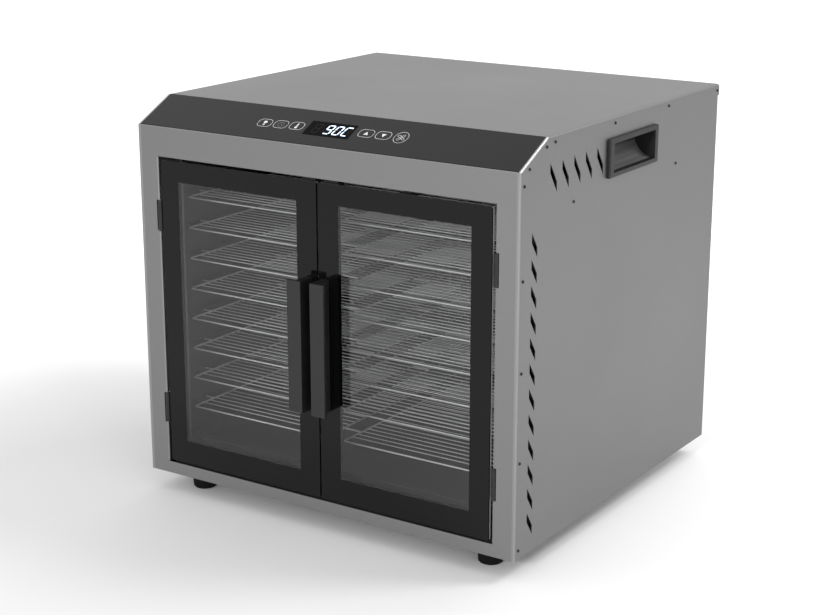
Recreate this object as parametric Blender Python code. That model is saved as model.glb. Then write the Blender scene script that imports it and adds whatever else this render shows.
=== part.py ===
"""Countertop food dehydrator with two glass doors, wire trays, a rear fan and a sloped touch panel.

Metres, +Z up. The doors face -Y and +X is to the right of someone facing them. The origin is on
the floor, under the middle of the object's box. Everything hangs from the empty "cabinet", whose
own axes are x, depth behind the front plane, and height above the underside of the casing.
"""

import math

import bmesh
import bpy
from mathutils import Matrix, Vector

# Casing
BODY_WIDTH = 0.450
BODY_DEPTH = 0.4244
BODY_HEIGHT = 0.3989
SLOPE_RUN = 0.0492
SLOPE_DROP = 0.0247
SHELL_SHEET = 0.0012
SHELL_BEND = 0.003
SHEET = 0.001
GAP = 0.0003
REAR_LIP_DROP = 0.012
REAR_LIP_OVERHANG = 0.003
REAR_PANEL_INSET = 0.001
FOOT_HEIGHT = 0.0215
FOOT_TOP_RADIUS = 0.014
FOOT_BOTTOM_RADIUS = 0.0125
FOOT_ROUNDING = 0.0025
FOOT_SIDE_INSET = 0.045
FOOT_END_INSET = 0.033

# Front frame and its opening
STILE_WIDTH = 0.024
BOTTOM_RAIL = 0.0128
TOP_RAIL = 0.0307
FRAME_RETURN = 0.016
FRAME_BEND = 0.002
BASE_FLANGE = 0.012

# Control panel
PANEL_THICKNESS = 0.002
LENS_WIDTH = 0.054
LENS_LENGTH = 0.0225
LENS_CENTRE_X = -0.001
KEY_PAD_OFFSETS = (-0.079, -0.059, -0.040, 0.0403, 0.0593, 0.0802)
KEY_PAD_RADIUS = 0.0045
BOARD_SPACE = 0.006
BOARD_THICKNESS = 0.0016
CONTROL_BOARD_WIDTH = 0.190
CONTROL_BOARD_LENGTH = 0.036
DISPLAY_MARGIN = 0.002
POST_SIDE = 0.005

# Doors, hinges and catches
GLASS_THICKNESS = 0.004
GLASS_CORNER = 0.0015
DOOR_SIDE_CLEARANCE = 0.0045
DOOR_TOP_CLEARANCE = 0.004
DOOR_BOTTOM_CLEARANCE = 0.0027
DOOR_MEETING_GAP = 0.002
HANDLE_REACH = 0.022
HANDLE_HEIGHT = 0.135
HANDLE_PLATE_WIDTH = 0.0165
HANDLE_PLATE_THICKNESS = 0.004
HANDLE_WEB_WIDTH = 0.008
HANDLE_FROM_MEETING_EDGE = 0.0045
HANDLE_EDGE = 0.0006
HANDLE_SCREW_SPACING = 0.096
HANDLE_SCREW_RADIUS = 0.0022
HINGE_OFFSET = 0.104
HINGE_HEIGHT = 0.032
HINGE_AXIS_DEPTH = 0.002
KNUCKLE_RADIUS = 0.0028
PIN_RADIUS = 0.0012
NOTCH_CLEARANCE = 0.0004
FRAME_LEAF_WIDTH = 0.013
LEAF_THICKNESS = 0.0012
DOOR_LEAF_WIDTH = 0.020
STRIKE_SIZE = (0.016, 0.001, 0.013)
CATCH_DEPTH = 0.010
CATCH_HEIGHT = 0.0115

# Chamber
WALL_INSET = 0.002
WALL_FRONT = 0.034
RETURN_TO_WALL = 0.0006
WALL_BEND = 0.0025
FLANGE_TO_CASING = 0.004
FLOOR_HEIGHT = 0.014
FLOOR_FRONT = 0.008
CEILING_ABOVE_OPENING = 0.0015
LEDGE_WIDTH = 0.012
LEDGE_START = 0.008

# Trays
TRAY_LEVELS = 9
LOWEST_TRAY_ABOVE_FLOOR = 0.025
HIGHEST_TRAY_BELOW_CEILING = 0.0458
TRAY_SIDE_CLEARANCE = 0.005
TRAY_FRONT = 0.0234
TRAY_REAR_CLEARANCE = 0.0045
TRAY_CORNER = 0.014
TRAY_BAR = 0.0032
TRAY_WIRE = 0.002
TRAY_WIRE_PITCH = 0.0188
PAN_RIM = 0.009
PAN_DEPTH = 0.010
PAN_CORNER = 0.008

# Side vents and carry handles
VENT_SLANT = 0.668
UPPER_VENTS = 5
UPPER_VENT_PITCH = 0.02285
UPPER_VENT_FRONT = 0.0542
UPPER_VENT_TOP_BELOW_LID = 0.0247
UPPER_VENT_HEIGHT = 0.0291
LOWER_VENT_PITCH = 0.0248
LOWER_VENT_FRONT = 0.0227
LOWER_VENT_HEIGHT = 0.0250
LOWER_VENT_BOTTOM = 0.0173
LOWER_VENT_TOP_BELOW_LID = 0.083
VENT_SIDE_HEIGHT = 0.0095
GRIP_FRONT = 0.166
GRIP_LENGTH = 0.105
GRIP_HEIGHT = 0.0385
GRIP_TOP_BELOW_LID = 0.0204
GRIP_PROUD = 0.004
GRIP_BORDER = 0.0075
GRIP_ROUNDING = 0.0014
POCKET_WALL = 0.002
POCKET_TO_CEILING = 0.003
SCOOP_RISE = 0.8
SCOOP_STEPS = 6

# Rear compartment
FAN_RADIUS = 0.092
FAN_BLADES = 6
FAN_BLADE_CHORD = 0.036
FAN_BLADE_PITCH_DEG = 35.0
FAN_BLADE_THICKNESS = 0.0015
FAN_BLADE_STEPS = 4
BLADE_ROOT_IN_HUB = 0.7
BLADE_ROOT_CHORD = 0.6
BLADE_ROOT_TWIST = 1.25
BLADE_TIP_TWIST = 0.75
FAN_HUB_RADIUS = 0.018
FAN_HUB_LENGTH = 0.018
FAN_BEHIND_WALL = 0.018
SHAFT_RADIUS = 0.003
MOTOR_RADIUS = 0.034
MOTOR_LENGTH = 0.024
MOTOR_BOSS_RADIUS = 0.008
MOTOR_BOSS_LENGTH = 0.004
MOTOR_END_WALL = 0.002
MOTOR_TO_REAR_PANEL = 0.0106
HUB_TO_MOTOR = 0.002
BRACKET_THICKNESS = 0.0015
BRACKET_WIDTH = 0.130
BRACKET_HEIGHT = 0.060
BRACKET_FOOT = 0.015
HEATER_RADIUS = 0.115
HEATER_TUBE = 0.0033
HEATER_BEND = 0.008
HEATER_RING_STEPS = 40
HEATER_BEND_STEPS = 5
HEATER_BLOCK = (0.046, 0.008, 0.014)
WALL_SLOT_WIDTH = 0.006
WALL_SLOT_HEIGHT = 0.036
WALL_SLOT_PITCH = 0.014
WALL_SLOT_ROWS = 4
WALL_SLOT_COLUMNS = 13
REAR_VENT_COLUMNS = 7
REAR_VENT_ROWS = 3
REAR_VENT_PITCH = 0.0229
REAR_VENT_ROW_PITCH = 0.036
INLET_X = 0.150
INLET_HEIGHT = 0.045
INLET_FLANGE = (0.034, 0.0024, 0.026)
INLET_BODY = (0.0275, 0.017, 0.0200)
INLET_SOCKET = (0.0240, 0.0150, 0.0164)
INLET_PIN = (0.002, 0.0095, 0.004)
INLET_PIN_SPACING = 0.007
INLET_PIN_OFFSET = 0.002
SENSOR_SIDE_SHARE = 0.6
PROBE_RADIUS = 0.0025
PROBE_REACH = 0.008
PROBE_TAIL = 0.020
PROBE_FLANGE_RADIUS = 0.006
CUTOUT_RADIUS = 0.008
CUTOUT_THICKNESS = 0.007
CUTOUT_EAR = 0.0128
POWER_BOARD = (0.120, 0.090)
POWER_BOARD_LIFT = 0.006
TRANSFORMER = (0.040, 0.034, 0.026)
RELAY = (0.016, 0.020, 0.016)
CAPACITOR_RADIUS = 0.006
CAPACITOR_HEIGHT = 0.018

# Derived places: x from the middle, depth from the front plane, height from the casing's underside
HALF_WIDTH = BODY_WIDTH / 2
INNER_HALF = HALF_WIDTH - SHELL_SHEET - GAP
SLOPE_FOOT = BODY_HEIGHT - SLOPE_DROP
SLOPE_ANGLE = math.atan2(SLOPE_DROP, SLOPE_RUN)
FRAME_SIDE_TOP = SLOPE_FOOT - PANEL_THICKNESS / math.cos(SLOPE_ANGLE) - GAP
OPENING_HALF = HALF_WIDTH - STILE_WIDTH
OPENING_BOTTOM = BOTTOM_RAIL
OPENING_TOP = SLOPE_FOOT - TOP_RAIL
REAR_PANEL_FRONT = BODY_DEPTH - REAR_LIP_OVERHANG - REAR_PANEL_INSET - SHEET
HUB_TO_MOTOR_FACE = MOTOR_BOSS_LENGTH + HUB_TO_MOTOR + BRACKET_THICKNESS + GAP
WALL_TO_MOTOR = FAN_BEHIND_WALL + FAN_HUB_LENGTH / 2 + HUB_TO_MOTOR_FACE
REAR_COMPARTMENT = WALL_TO_MOTOR + MOTOR_LENGTH + MOTOR_TO_REAR_PANEL
BACK_WALL = REAR_PANEL_FRONT - REAR_COMPARTMENT
CHAMBER_HALF = OPENING_HALF - WALL_INSET
WALL_FLANGE = HALF_WIDTH - FLANGE_TO_CASING - CHAMBER_HALF
CEILING = OPENING_TOP + CEILING_ABOVE_OPENING
DOOR_OUTER = OPENING_HALF - DOOR_SIDE_CLEARANCE
DOOR_INNER = DOOR_MEETING_GAP / 2
DOOR_BOTTOM = OPENING_BOTTOM + DOOR_BOTTOM_CLEARANCE
DOOR_TOP = OPENING_TOP - DOOR_TOP_CLEARANCE
DOOR_CENTRE = (DOOR_BOTTOM + DOOR_TOP) / 2
DOOR_BACK = GLASS_THICKNESS + GAP
LOWEST_TRAY = FLOOR_HEIGHT + LOWEST_TRAY_ABOVE_FLOOR
HIGHEST_TRAY = CEILING - HIGHEST_TRAY_BELOW_CEILING
TRAY_PITCH = (HIGHEST_TRAY - LOWEST_TRAY) / (TRAY_LEVELS - 1)
TRAY_HALF = CHAMBER_HALF - TRAY_SIDE_CLEARANCE
TRAY_REAR = BACK_WALL - TRAY_REAR_CLEARANCE
FAN_HEIGHT = (FLOOR_HEIGHT + CEILING) / 2
FAN_DEPTH = BACK_WALL + FAN_BEHIND_WALL
MOTOR_FRONT = FAN_DEPTH + FAN_HUB_LENGTH / 2 + HUB_TO_MOTOR_FACE
BRACKET_FRONT = MOTOR_FRONT - GAP - BRACKET_THICKNESS
GRIP_TOP = BODY_HEIGHT - GRIP_TOP_BELOW_LID
GRIP_BOTTOM = GRIP_TOP - GRIP_HEIGHT
POCKET_DEPTH = HALF_WIDTH - (CHAMBER_HALF + SHEET + POCKET_TO_CEILING) - POCKET_WALL
BIG = 0.05

COLOURS = {
    "satin_steel": ((0.30, 0.30, 0.305), 0.38, 0.85),
    "bare_steel": ((0.45, 0.45, 0.45), 0.35, 0.9),
    "stainless_wire": ((0.62, 0.62, 0.62), 0.25, 1.0),
    "black_plastic": ((0.02, 0.02, 0.02), 0.45, 0.0),
    "panel_black": ((0.045, 0.045, 0.047), 0.40, 0.0),
    "lens_black": ((0.006, 0.006, 0.008), 0.12, 0.0),
    "door_glass": ((0.03, 0.03, 0.03), 0.05, 0.0),
    "hinge_black": ((0.025, 0.025, 0.025), 0.35, 0.6),
    "rubber_black": ((0.012, 0.012, 0.012), 0.75, 0.0),
    "circuit_green": ((0.03, 0.12, 0.06), 0.5, 0.0),
    "motor_grey": ((0.25, 0.25, 0.26), 0.5, 0.7),
    "fan_aluminium": ((0.55, 0.55, 0.56), 0.4, 1.0),
    "heater_steel": ((0.18, 0.17, 0.16), 0.5, 0.9),
    "ceramic_white": ((0.75, 0.74, 0.70), 0.6, 0.0),
}


def remove_everything():
    for old in list(bpy.data.objects):
        bpy.data.objects.remove(old)


def make_materials():
    made = {}
    for name, (colour, roughness, metallic) in COLOURS.items():
        material = bpy.data.materials.new(name)
        material.use_nodes = True
        shader = material.node_tree.nodes["Principled BSDF"]
        shader.inputs["Base Color"].default_value = (*colour, 1.0)
        shader.inputs["Roughness"].default_value = roughness
        shader.inputs["Metallic"].default_value = metallic
        made[name] = material
    return made


def make_empty(name, location, parent=None):
    empty = bpy.data.objects.new(name, None)
    empty.location = location
    empty.parent = parent
    bpy.context.scene.collection.objects.link(empty)
    return empty


def make_object(name, mesh_tools, material=None, parent=None, smooth_deg=None, origin=None):
    """An object from a bmesh in the parent's axes. origin, where given, becomes its own origin."""
    if origin is not None:
        bmesh.ops.translate(mesh_tools, verts=mesh_tools.verts, vec=-Vector(origin))
    bmesh.ops.recalc_face_normals(mesh_tools, faces=mesh_tools.faces)
    mesh = bpy.data.meshes.new(name)
    mesh_tools.to_mesh(mesh)
    mesh_tools.free()
    if smooth_deg is not None:
        mesh.shade_smooth()
        mesh.set_sharp_from_angle(angle=math.radians(smooth_deg))
    made = bpy.data.objects.new(name, mesh)
    if material is not None:
        made.data.materials.append(material)
    made.parent = parent
    if origin is not None:
        made.location = origin
    bpy.context.scene.collection.objects.link(made)
    return made


def add_box(shape, low, high):
    centre = (Vector(low) + Vector(high)) / 2
    size = Vector(high) - Vector(low)
    placing = Matrix.Translation(centre) @ Matrix.Diagonal((*size, 1.0))
    bmesh.ops.create_cube(shape, size=1.0, matrix=placing)


def box_shape(low, high):
    shape = bmesh.new()
    add_box(shape, low, high)
    return shape


def add_prism(shape, outline, axis, low, high):
    """A closed outline pushed along an axis. Its pairs are the other two axes, in X, Y, Z order."""

    def place(pair, along):
        values = list(pair)
        values.insert(axis, along)
        return shape.verts.new(values)

    bottom = [place(pair, low) for pair in outline]
    top = [place(pair, high) for pair in outline]
    shape.faces.new(list(reversed(bottom)))
    shape.faces.new(top)
    count = len(outline)
    for i in range(count):
        j = (i + 1) % count
        shape.faces.new((bottom[i], bottom[j], top[j], top[i]))


def prism_shape(outline, axis, low, high):
    shape = bmesh.new()
    add_prism(shape, outline, axis, low, high)
    return shape


def add_rod(shape, start, end, radius, segments=24, end_radius=None):
    """A closed cylinder or cone from start to end."""
    start = Vector(start)
    end = Vector(end)
    along = end - start
    turn = along.to_track_quat("Z", "Y").to_matrix().to_4x4()
    placing = Matrix.Translation((start + end) / 2) @ turn
    bmesh.ops.create_cone(
        shape,
        cap_ends=True,
        segments=segments,
        radius1=radius,
        radius2=radius if end_radius is None else end_radius,
        depth=along.length,
        matrix=placing,
    )


def rod_shape(start, end, radius, segments=24):
    shape = bmesh.new()
    add_rod(shape, start, end, radius, segments)
    return shape


def arc(centre, radius, start_deg, end_deg, steps):
    """Points on an arc in the plane of an outline, ends included."""
    points = []
    for i in range(steps + 1):
        angle = math.radians(start_deg + (end_deg - start_deg) * i / steps)
        points.append((centre[0] + radius * math.cos(angle), centre[1] + radius * math.sin(angle)))
    return points


def rounded_rectangle(half_a, low_b, high_b, radius, steps=4):
    """An outline from -half_a to half_a and from low_b to high_b with round corners."""
    points = []
    corners = (
        ((half_a - radius, low_b + radius), -90.0),
        ((half_a - radius, high_b - radius), 0.0),
        ((-half_a + radius, high_b - radius), 90.0),
        ((-half_a + radius, low_b + radius), 180.0),
    )
    for centre, start_deg in corners:
        points.extend(arc(centre, radius, start_deg, start_deg + 90.0, steps))
    return points


def combine(target, shape, operation, parent=None):
    """Adds a live Boolean to target with a wire-only operand made from a bmesh."""
    label = f"{target.name}.{operation.lower()}{len(target.modifiers)}"
    tool = make_object(label, shape, parent=parent)
    tool.hide_render = True
    tool.display_type = "WIRE"
    step = target.modifiers.new(label, "BOOLEAN")
    step.operation = operation
    step.object = tool
    return target


def cut(target, shape, parent):
    return combine(target, shape, "DIFFERENCE", parent)


def join(target, shape, parent):
    return combine(target, shape, "UNION", parent)


def vent_outline(front, bottom, height, side_height):
    """A slanted vent in depth and height: its long sides lean to the rear as they fall."""
    reach = (height - side_height) * VENT_SLANT
    return [
        (front, bottom + height - side_height),
        (front + reach, bottom),
        (front + reach, bottom + side_height),
        (front, bottom + height),
    ]


def add_side_vents(shape, side):
    low = min(side * (HALF_WIDTH - BIG / 2), side * (HALF_WIDTH + BIG / 2))
    high = max(side * (HALF_WIDTH - BIG / 2), side * (HALF_WIDTH + BIG / 2))
    upper_bottom = BODY_HEIGHT - UPPER_VENT_TOP_BELOW_LID - UPPER_VENT_HEIGHT
    for i in range(UPPER_VENTS):
        front = UPPER_VENT_FRONT + i * UPPER_VENT_PITCH
        outline = vent_outline(front, upper_bottom, UPPER_VENT_HEIGHT, VENT_SIDE_HEIGHT)
        add_prism(shape, outline, 0, low, high)
    room = BODY_HEIGHT - LOWER_VENT_TOP_BELOW_LID - LOWER_VENT_BOTTOM - LOWER_VENT_HEIGHT
    for i in range(int(room / LOWER_VENT_PITCH + 0.5) + 1):
        bottom = LOWER_VENT_BOTTOM + i * LOWER_VENT_PITCH
        outline = vent_outline(LOWER_VENT_FRONT, bottom, LOWER_VENT_HEIGHT, VENT_SIDE_HEIGHT)
        add_prism(shape, outline, 0, low, high)


def make_outer_shell(materials, cabinet):
    bend = SHELL_BEND
    outer = [(HALF_WIDTH, 0.0)]
    outer += arc((HALF_WIDTH - bend, BODY_HEIGHT - bend), bend, 0.0, 90.0, 4)
    outer += arc((-HALF_WIDTH + bend, BODY_HEIGHT - bend), bend, 90.0, 180.0, 4)
    outer += [(-HALF_WIDTH, 0.0)]
    shell = make_object(
        "outer_shell",
        prism_shape(outer, 1, 0.0, BODY_DEPTH),
        materials["satin_steel"],
        cabinet,
    )
    inner_half = HALF_WIDTH - SHELL_SHEET
    inner_top = BODY_HEIGHT - SHELL_SHEET
    inner_bend = bend - SHELL_SHEET
    inner = [(inner_half, -BIG)]
    inner += arc((inner_half - inner_bend, inner_top - inner_bend), inner_bend, 0.0, 90.0, 4)
    inner += arc((-inner_half + inner_bend, inner_top - inner_bend), inner_bend, 90.0, 180.0, 4)
    inner += [(-inner_half, -BIG)]
    cut(shell, prism_shape(inner, 1, -BIG, BODY_DEPTH - SHELL_SHEET), cabinet)
    steep = SLOPE_DROP / SLOPE_RUN
    above_slope = [
        (-BIG, SLOPE_FOOT - BIG * steep),
        (SLOPE_RUN, BODY_HEIGHT),
        (SLOPE_RUN, BODY_HEIGHT + BIG),
        (-BIG, BODY_HEIGHT + BIG),
    ]
    cut(shell, prism_shape(above_slope, 0, -HALF_WIDTH - BIG, HALF_WIDTH + BIG), cabinet)
    lid_front = box_shape((-inner_half, -BIG, SLOPE_FOOT), (inner_half, SLOPE_RUN, BODY_HEIGHT + BIG))
    cut(shell, lid_front, cabinet)
    below_lip = box_shape(
        (-HALF_WIDTH - BIG, BODY_DEPTH - REAR_LIP_OVERHANG, -BIG),
        (HALF_WIDTH + BIG, BODY_DEPTH + BIG, BODY_HEIGHT - REAR_LIP_DROP),
    )
    cut(shell, below_lip, cabinet)
    openings = bmesh.new()
    for side in (-1, 1):
        add_side_vents(openings, side)
        low = min(side * (HALF_WIDTH - BIG / 2), side * (HALF_WIDTH + BIG / 2))
        high = max(side * (HALF_WIDTH - BIG / 2), side * (HALF_WIDTH + BIG / 2))
        pocket = pocket_outer()
        add_box(
            openings,
            (low, pocket[0] - GAP, pocket[2] - GAP),
            (high, pocket[1] + GAP, pocket[3] + GAP),
        )
    cut(shell, openings, cabinet)
    return shell


def pocket_outer():
    """Depth and height limits of the part of a carry handle that passes through the casing."""
    inset = GRIP_BORDER - POCKET_WALL
    front = GRIP_FRONT + inset
    rear = GRIP_FRONT + GRIP_LENGTH - inset
    return front, rear, GRIP_BOTTOM + inset / 2, GRIP_TOP - inset / 2


def make_carry_handle(name, side, materials, cabinet):
    """A moulded pocket handle: a proud bezel on the casing and a scooped finger pocket behind it."""

    def span(inner, outer):
        return min(side * inner, side * outer), max(side * inner, side * outer)

    face = HALF_WIDTH + GRIP_PROUD
    low, high = span(HALF_WIDTH + GAP, face)
    bezel = bmesh.new()
    add_box(
        bezel,
        (low, GRIP_FRONT, GRIP_BOTTOM),
        (high, GRIP_FRONT + GRIP_LENGTH, GRIP_TOP),
    )
    outer_edges = []
    for edge in bezel.edges:
        if any(abs(v.co.x - side * face) < GAP for v in edge.verts):
            outer_edges.append(edge)
    bmesh.ops.bevel(
        bezel, geom=outer_edges, offset=GRIP_ROUNDING, segments=3, profile=0.5, affect="EDGES"
    )
    handle = make_object(name, bezel, materials["black_plastic"], cabinet)
    front, rear, bottom, top = pocket_outer()
    inner_end = HALF_WIDTH - POCKET_DEPTH - POCKET_WALL
    low, high = span(inner_end, HALF_WIDTH + GRIP_PROUD / 2)
    join(handle, box_shape((low, front, bottom), (high, rear, top)), cabinet)
    floor = bottom + POCKET_WALL
    roof = top - POCKET_WALL
    scoop = [(side * (face + BIG), roof), (side * (face + BIG), floor), (side * face, floor)]
    back = HALF_WIDTH - POCKET_DEPTH
    rise = roof - floor
    for step in range(1, SCOOP_STEPS + 1):
        turn = math.pi / 2 * step / SCOOP_STEPS
        across = face - (face - back) * math.sin(turn)
        scoop.append((side * across, floor + rise * SCOOP_RISE * (1.0 - math.cos(turn))))
    scoop.append((side * back, roof))
    cut(handle, prism_shape(scoop, 1, front + POCKET_WALL, rear - POCKET_WALL), cabinet)
    return handle


def make_front_frame(materials, cabinet):
    side = INNER_HALF
    bend = FRAME_BEND
    inner_bend = bend - SHEET
    outline = [(side, FRAME_RETURN)]
    outline += arc((side - bend, bend), bend, 0.0, -90.0, 4)
    outline += arc((-side + bend, bend), bend, -90.0, -180.0, 4)
    outline += [(-side, FRAME_RETURN), (-side + SHEET, FRAME_RETURN)]
    outline += arc((-side + bend, bend), inner_bend, -180.0, -90.0, 4)
    outline += arc((side - bend, bend), inner_bend, -90.0, 0.0, 4)
    outline += [(side - SHEET, FRAME_RETURN)]
    frame = make_object(
        "front_frame",
        prism_shape(outline, 2, 0.0, SLOPE_FOOT),
        materials["satin_steel"],
        cabinet,
    )
    opening = box_shape(
        (-OPENING_HALF, -BIG, OPENING_BOTTOM),
        (OPENING_HALF, FRAME_RETURN / 2, OPENING_TOP),
    )
    cut(frame, opening, cabinet)
    under_panel = box_shape(
        (-HALF_WIDTH, SHEET, FRAME_SIDE_TOP),
        (HALF_WIDTH, FRAME_RETURN + BIG, SLOPE_FOOT + BIG),
    )
    cut(frame, under_panel, cabinet)
    returns = bmesh.new()
    for side in (-1, 1):
        low, high = side_span(side, OPENING_HALF, OPENING_HALF + SHEET)
        add_box(
            returns,
            (low, SHEET / 2, OPENING_BOTTOM),
            (high, WALL_FRONT - RETURN_TO_WALL, OPENING_TOP),
        )
    join(frame, returns, cabinet)
    notches = bmesh.new()
    reach = OPENING_HALF + KNUCKLE_RADIUS + NOTCH_CLEARANCE
    for side in (-1, 1):
        low = min(side * (OPENING_HALF - BIG / 2), side * reach)
        high = max(side * (OPENING_HALF - BIG / 2), side * reach)
        for middle in hinge_heights():
            half = HINGE_HEIGHT / 2 + NOTCH_CLEARANCE
            add_box(notches, (low, -BIG, middle - half), (high, BIG, middle + half))
    cut(frame, notches, cabinet)
    return frame


def hinge_heights():
    return DOOR_CENTRE - HINGE_OFFSET, DOOR_CENTRE + HINGE_OFFSET


def make_base_pan(materials, cabinet):
    half = INNER_HALF - SHEET - GAP
    front = SHEET + GAP
    rear = REAR_PANEL_FRONT - GAP
    pan = make_object(
        "base_pan",
        box_shape((-half, front, 0.0), (half, rear, BASE_FLANGE)),
        materials["satin_steel"],
        cabinet,
    )
    inside = box_shape(
        (-half + SHEET, front + SHEET, SHEET),
        (half - SHEET, rear - SHEET, BASE_FLANGE + BIG),
    )
    return cut(pan, inside, cabinet)


def make_rear_panel(materials, cabinet):
    corner = SHELL_BEND
    top = BODY_HEIGHT - SHELL_SHEET - GAP
    outline = [(-INNER_HALF, 0.0), (INNER_HALF, 0.0)]
    outline += arc((INNER_HALF - corner, top - corner), corner, 0.0, 90.0, 4)
    outline += arc((-INNER_HALF + corner, top - corner), corner, 90.0, 180.0, 4)
    panel = make_object(
        "rear_panel",
        prism_shape(outline, 1, REAR_PANEL_FRONT, REAR_PANEL_FRONT + SHEET),
        materials["satin_steel"],
        cabinet,
    )
    openings = bmesh.new()
    low = REAR_PANEL_FRONT - BIG / 4
    high = REAR_PANEL_FRONT + BIG / 4
    reach = (UPPER_VENT_HEIGHT - VENT_SIDE_HEIGHT) * VENT_SLANT
    for row in range(REAR_VENT_ROWS):
        middle = FAN_HEIGHT + (row - (REAR_VENT_ROWS - 1) / 2) * REAR_VENT_ROW_PITCH
        bottom = middle - UPPER_VENT_HEIGHT / 2
        for column in range(REAR_VENT_COLUMNS):
            left = (column - (REAR_VENT_COLUMNS - 1) / 2) * REAR_VENT_PITCH - reach / 2
            outline = vent_outline(left, bottom, UPPER_VENT_HEIGHT, VENT_SIDE_HEIGHT)
            add_prism(openings, outline, 1, low, high)
    half_x = INLET_BODY[0] / 2 + GAP
    half_z = INLET_BODY[2] / 2 + GAP
    add_box(
        openings,
        (INLET_X - half_x, low, INLET_HEIGHT - half_z),
        (INLET_X + half_x, high, INLET_HEIGHT + half_z),
    )
    return cut(panel, openings, cabinet)


def slope_empty(cabinet):
    """An empty on the slope's front edge: x across, y up the slope, z out of it."""
    empty = make_empty("control_slope", (0.0, 0.0, SLOPE_FOOT), cabinet)
    empty.rotation_euler = (SLOPE_ANGLE, 0.0, 0.0)
    return empty


def make_control_panel(materials, cabinet, slope):
    steep = SLOPE_DROP / SLOPE_RUN
    down = PANEL_THICKNESS / math.cos(SLOPE_ANGLE)
    front = SHEET + GAP
    rear = SLOPE_RUN - GAP
    outline = [
        (front, SLOPE_FOOT + front * steep),
        (front, SLOPE_FOOT + front * steep - down),
        (rear, SLOPE_FOOT + rear * steep - down),
        (rear, SLOPE_FOOT + rear * steep),
    ]
    panel = make_object(
        "control_panel",
        prism_shape(outline, 0, -INNER_HALF, INNER_HALF),
        materials["panel_black"],
        cabinet,
    )
    posts = bmesh.new()
    across = CONTROL_BOARD_WIDTH / 2 - POST_SIDE
    low, high = board_span()
    for x in (-across, across):
        for along in (low + POST_SIDE, high - POST_SIDE):
            add_box(
                posts,
                (x - POST_SIDE / 2, along - POST_SIDE / 2, -PANEL_THICKNESS - BOARD_SPACE + GAP),
                (x + POST_SIDE / 2, along + POST_SIDE / 2, -PANEL_THICKNESS / 2),
            )
    join(panel, posts, slope)
    middle = slope_length() / 2
    window = box_shape(
        (LENS_CENTRE_X - LENS_WIDTH / 2, middle - LENS_LENGTH / 2, -BIG),
        (LENS_CENTRE_X + LENS_WIDTH / 2, middle + LENS_LENGTH / 2, BIG),
    )
    return cut(panel, window, slope)


def slope_length():
    return math.hypot(SLOPE_RUN, SLOPE_DROP)


def board_span():
    middle = slope_length() / 2
    return middle - CONTROL_BOARD_LENGTH / 2, middle + CONTROL_BOARD_LENGTH / 2


def make_display(materials, slope):
    middle = slope_length() / 2
    half_x = LENS_WIDTH / 2 - GAP
    half_y = LENS_LENGTH / 2 - GAP
    make_object(
        "display_lens",
        box_shape(
            (LENS_CENTRE_X - half_x, middle - half_y, -PANEL_THICKNESS),
            (LENS_CENTRE_X + half_x, middle + half_y, 0.0),
        ),
        materials["lens_black"],
        slope,
    )
    half_x -= DISPLAY_MARGIN
    half_y -= DISPLAY_MARGIN
    board_top = -PANEL_THICKNESS - BOARD_SPACE
    make_object(
        "display_module",
        box_shape(
            (LENS_CENTRE_X - half_x, middle - half_y, board_top + GAP),
            (LENS_CENTRE_X + half_x, middle + half_y, -PANEL_THICKNESS - GAP),
        ),
        materials["black_plastic"],
        slope,
    )
    low, high = board_span()
    board = make_object(
        "control_board",
        box_shape(
            (-CONTROL_BOARD_WIDTH / 2, low, board_top - BOARD_THICKNESS),
            (CONTROL_BOARD_WIDTH / 2, high, board_top),
        ),
        materials["circuit_green"],
        slope,
    )
    pads = bmesh.new()
    for x in KEY_PAD_OFFSETS:
        start = (x, middle, board_top - BOARD_THICKNESS / 2)
        add_rod(pads, start, (x, middle, -PANEL_THICKNESS - GAP), KEY_PAD_RADIUS, 16)
    join(board, pads, slope)


def tray_heights():
    return [LOWEST_TRAY + TRAY_PITCH * level for level in range(TRAY_LEVELS)]


def make_chamber_wall(name, side, materials, cabinet):
    """A liner wall whose front edge bends outward, with one ledge under each tray."""
    inner = CHAMBER_HALF
    outer = CHAMBER_HALF + SHEET
    flange_end = CHAMBER_HALF + WALL_FLANGE
    rear = BACK_WALL - GAP
    bend = WALL_BEND
    outline = [(inner, rear)]
    outline += arc((inner + bend, WALL_FRONT + bend), bend, 180.0, 270.0, 4)
    outline += [(flange_end, WALL_FRONT), (flange_end, WALL_FRONT + SHEET)]
    outline += arc((inner + bend, WALL_FRONT + bend), bend - SHEET, 270.0, 180.0, 4)
    outline += [(outer, rear)]
    outline = [(side * x, depth) for x, depth in outline]
    bottom = FLOOR_HEIGHT - SHEET
    wall = make_object(
        name,
        prism_shape(outline, 2, bottom, CEILING - GAP),
        materials["bare_steel"],
        cabinet,
    )
    ledges = bmesh.new()
    low = min(side * (inner - LEDGE_WIDTH), side * (inner + SHEET / 2))
    high = max(side * (inner - LEDGE_WIDTH), side * (inner + SHEET / 2))
    front = WALL_FRONT + LEDGE_START
    for height in tray_heights():
        top = height - TRAY_BAR / 2 - GAP
        add_box(ledges, (low, front, top - SHEET), (high, rear - LEDGE_START / 2, top))
    return join(wall, ledges, cabinet)


def make_chamber_floor(materials, cabinet):
    half = CHAMBER_HALF - GAP
    rear = BACK_WALL - GAP
    bottom = SHEET + GAP
    floor = make_object(
        "chamber_floor",
        box_shape((-half, FLOOR_FRONT, bottom), (half, rear, FLOOR_HEIGHT)),
        materials["bare_steel"],
        cabinet,
    )
    under = box_shape(
        (-half + SHEET, FLOOR_FRONT + SHEET, -BIG),
        (half - SHEET, rear - SHEET, FLOOR_HEIGHT - SHEET),
    )
    return cut(floor, under, cabinet)


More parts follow.
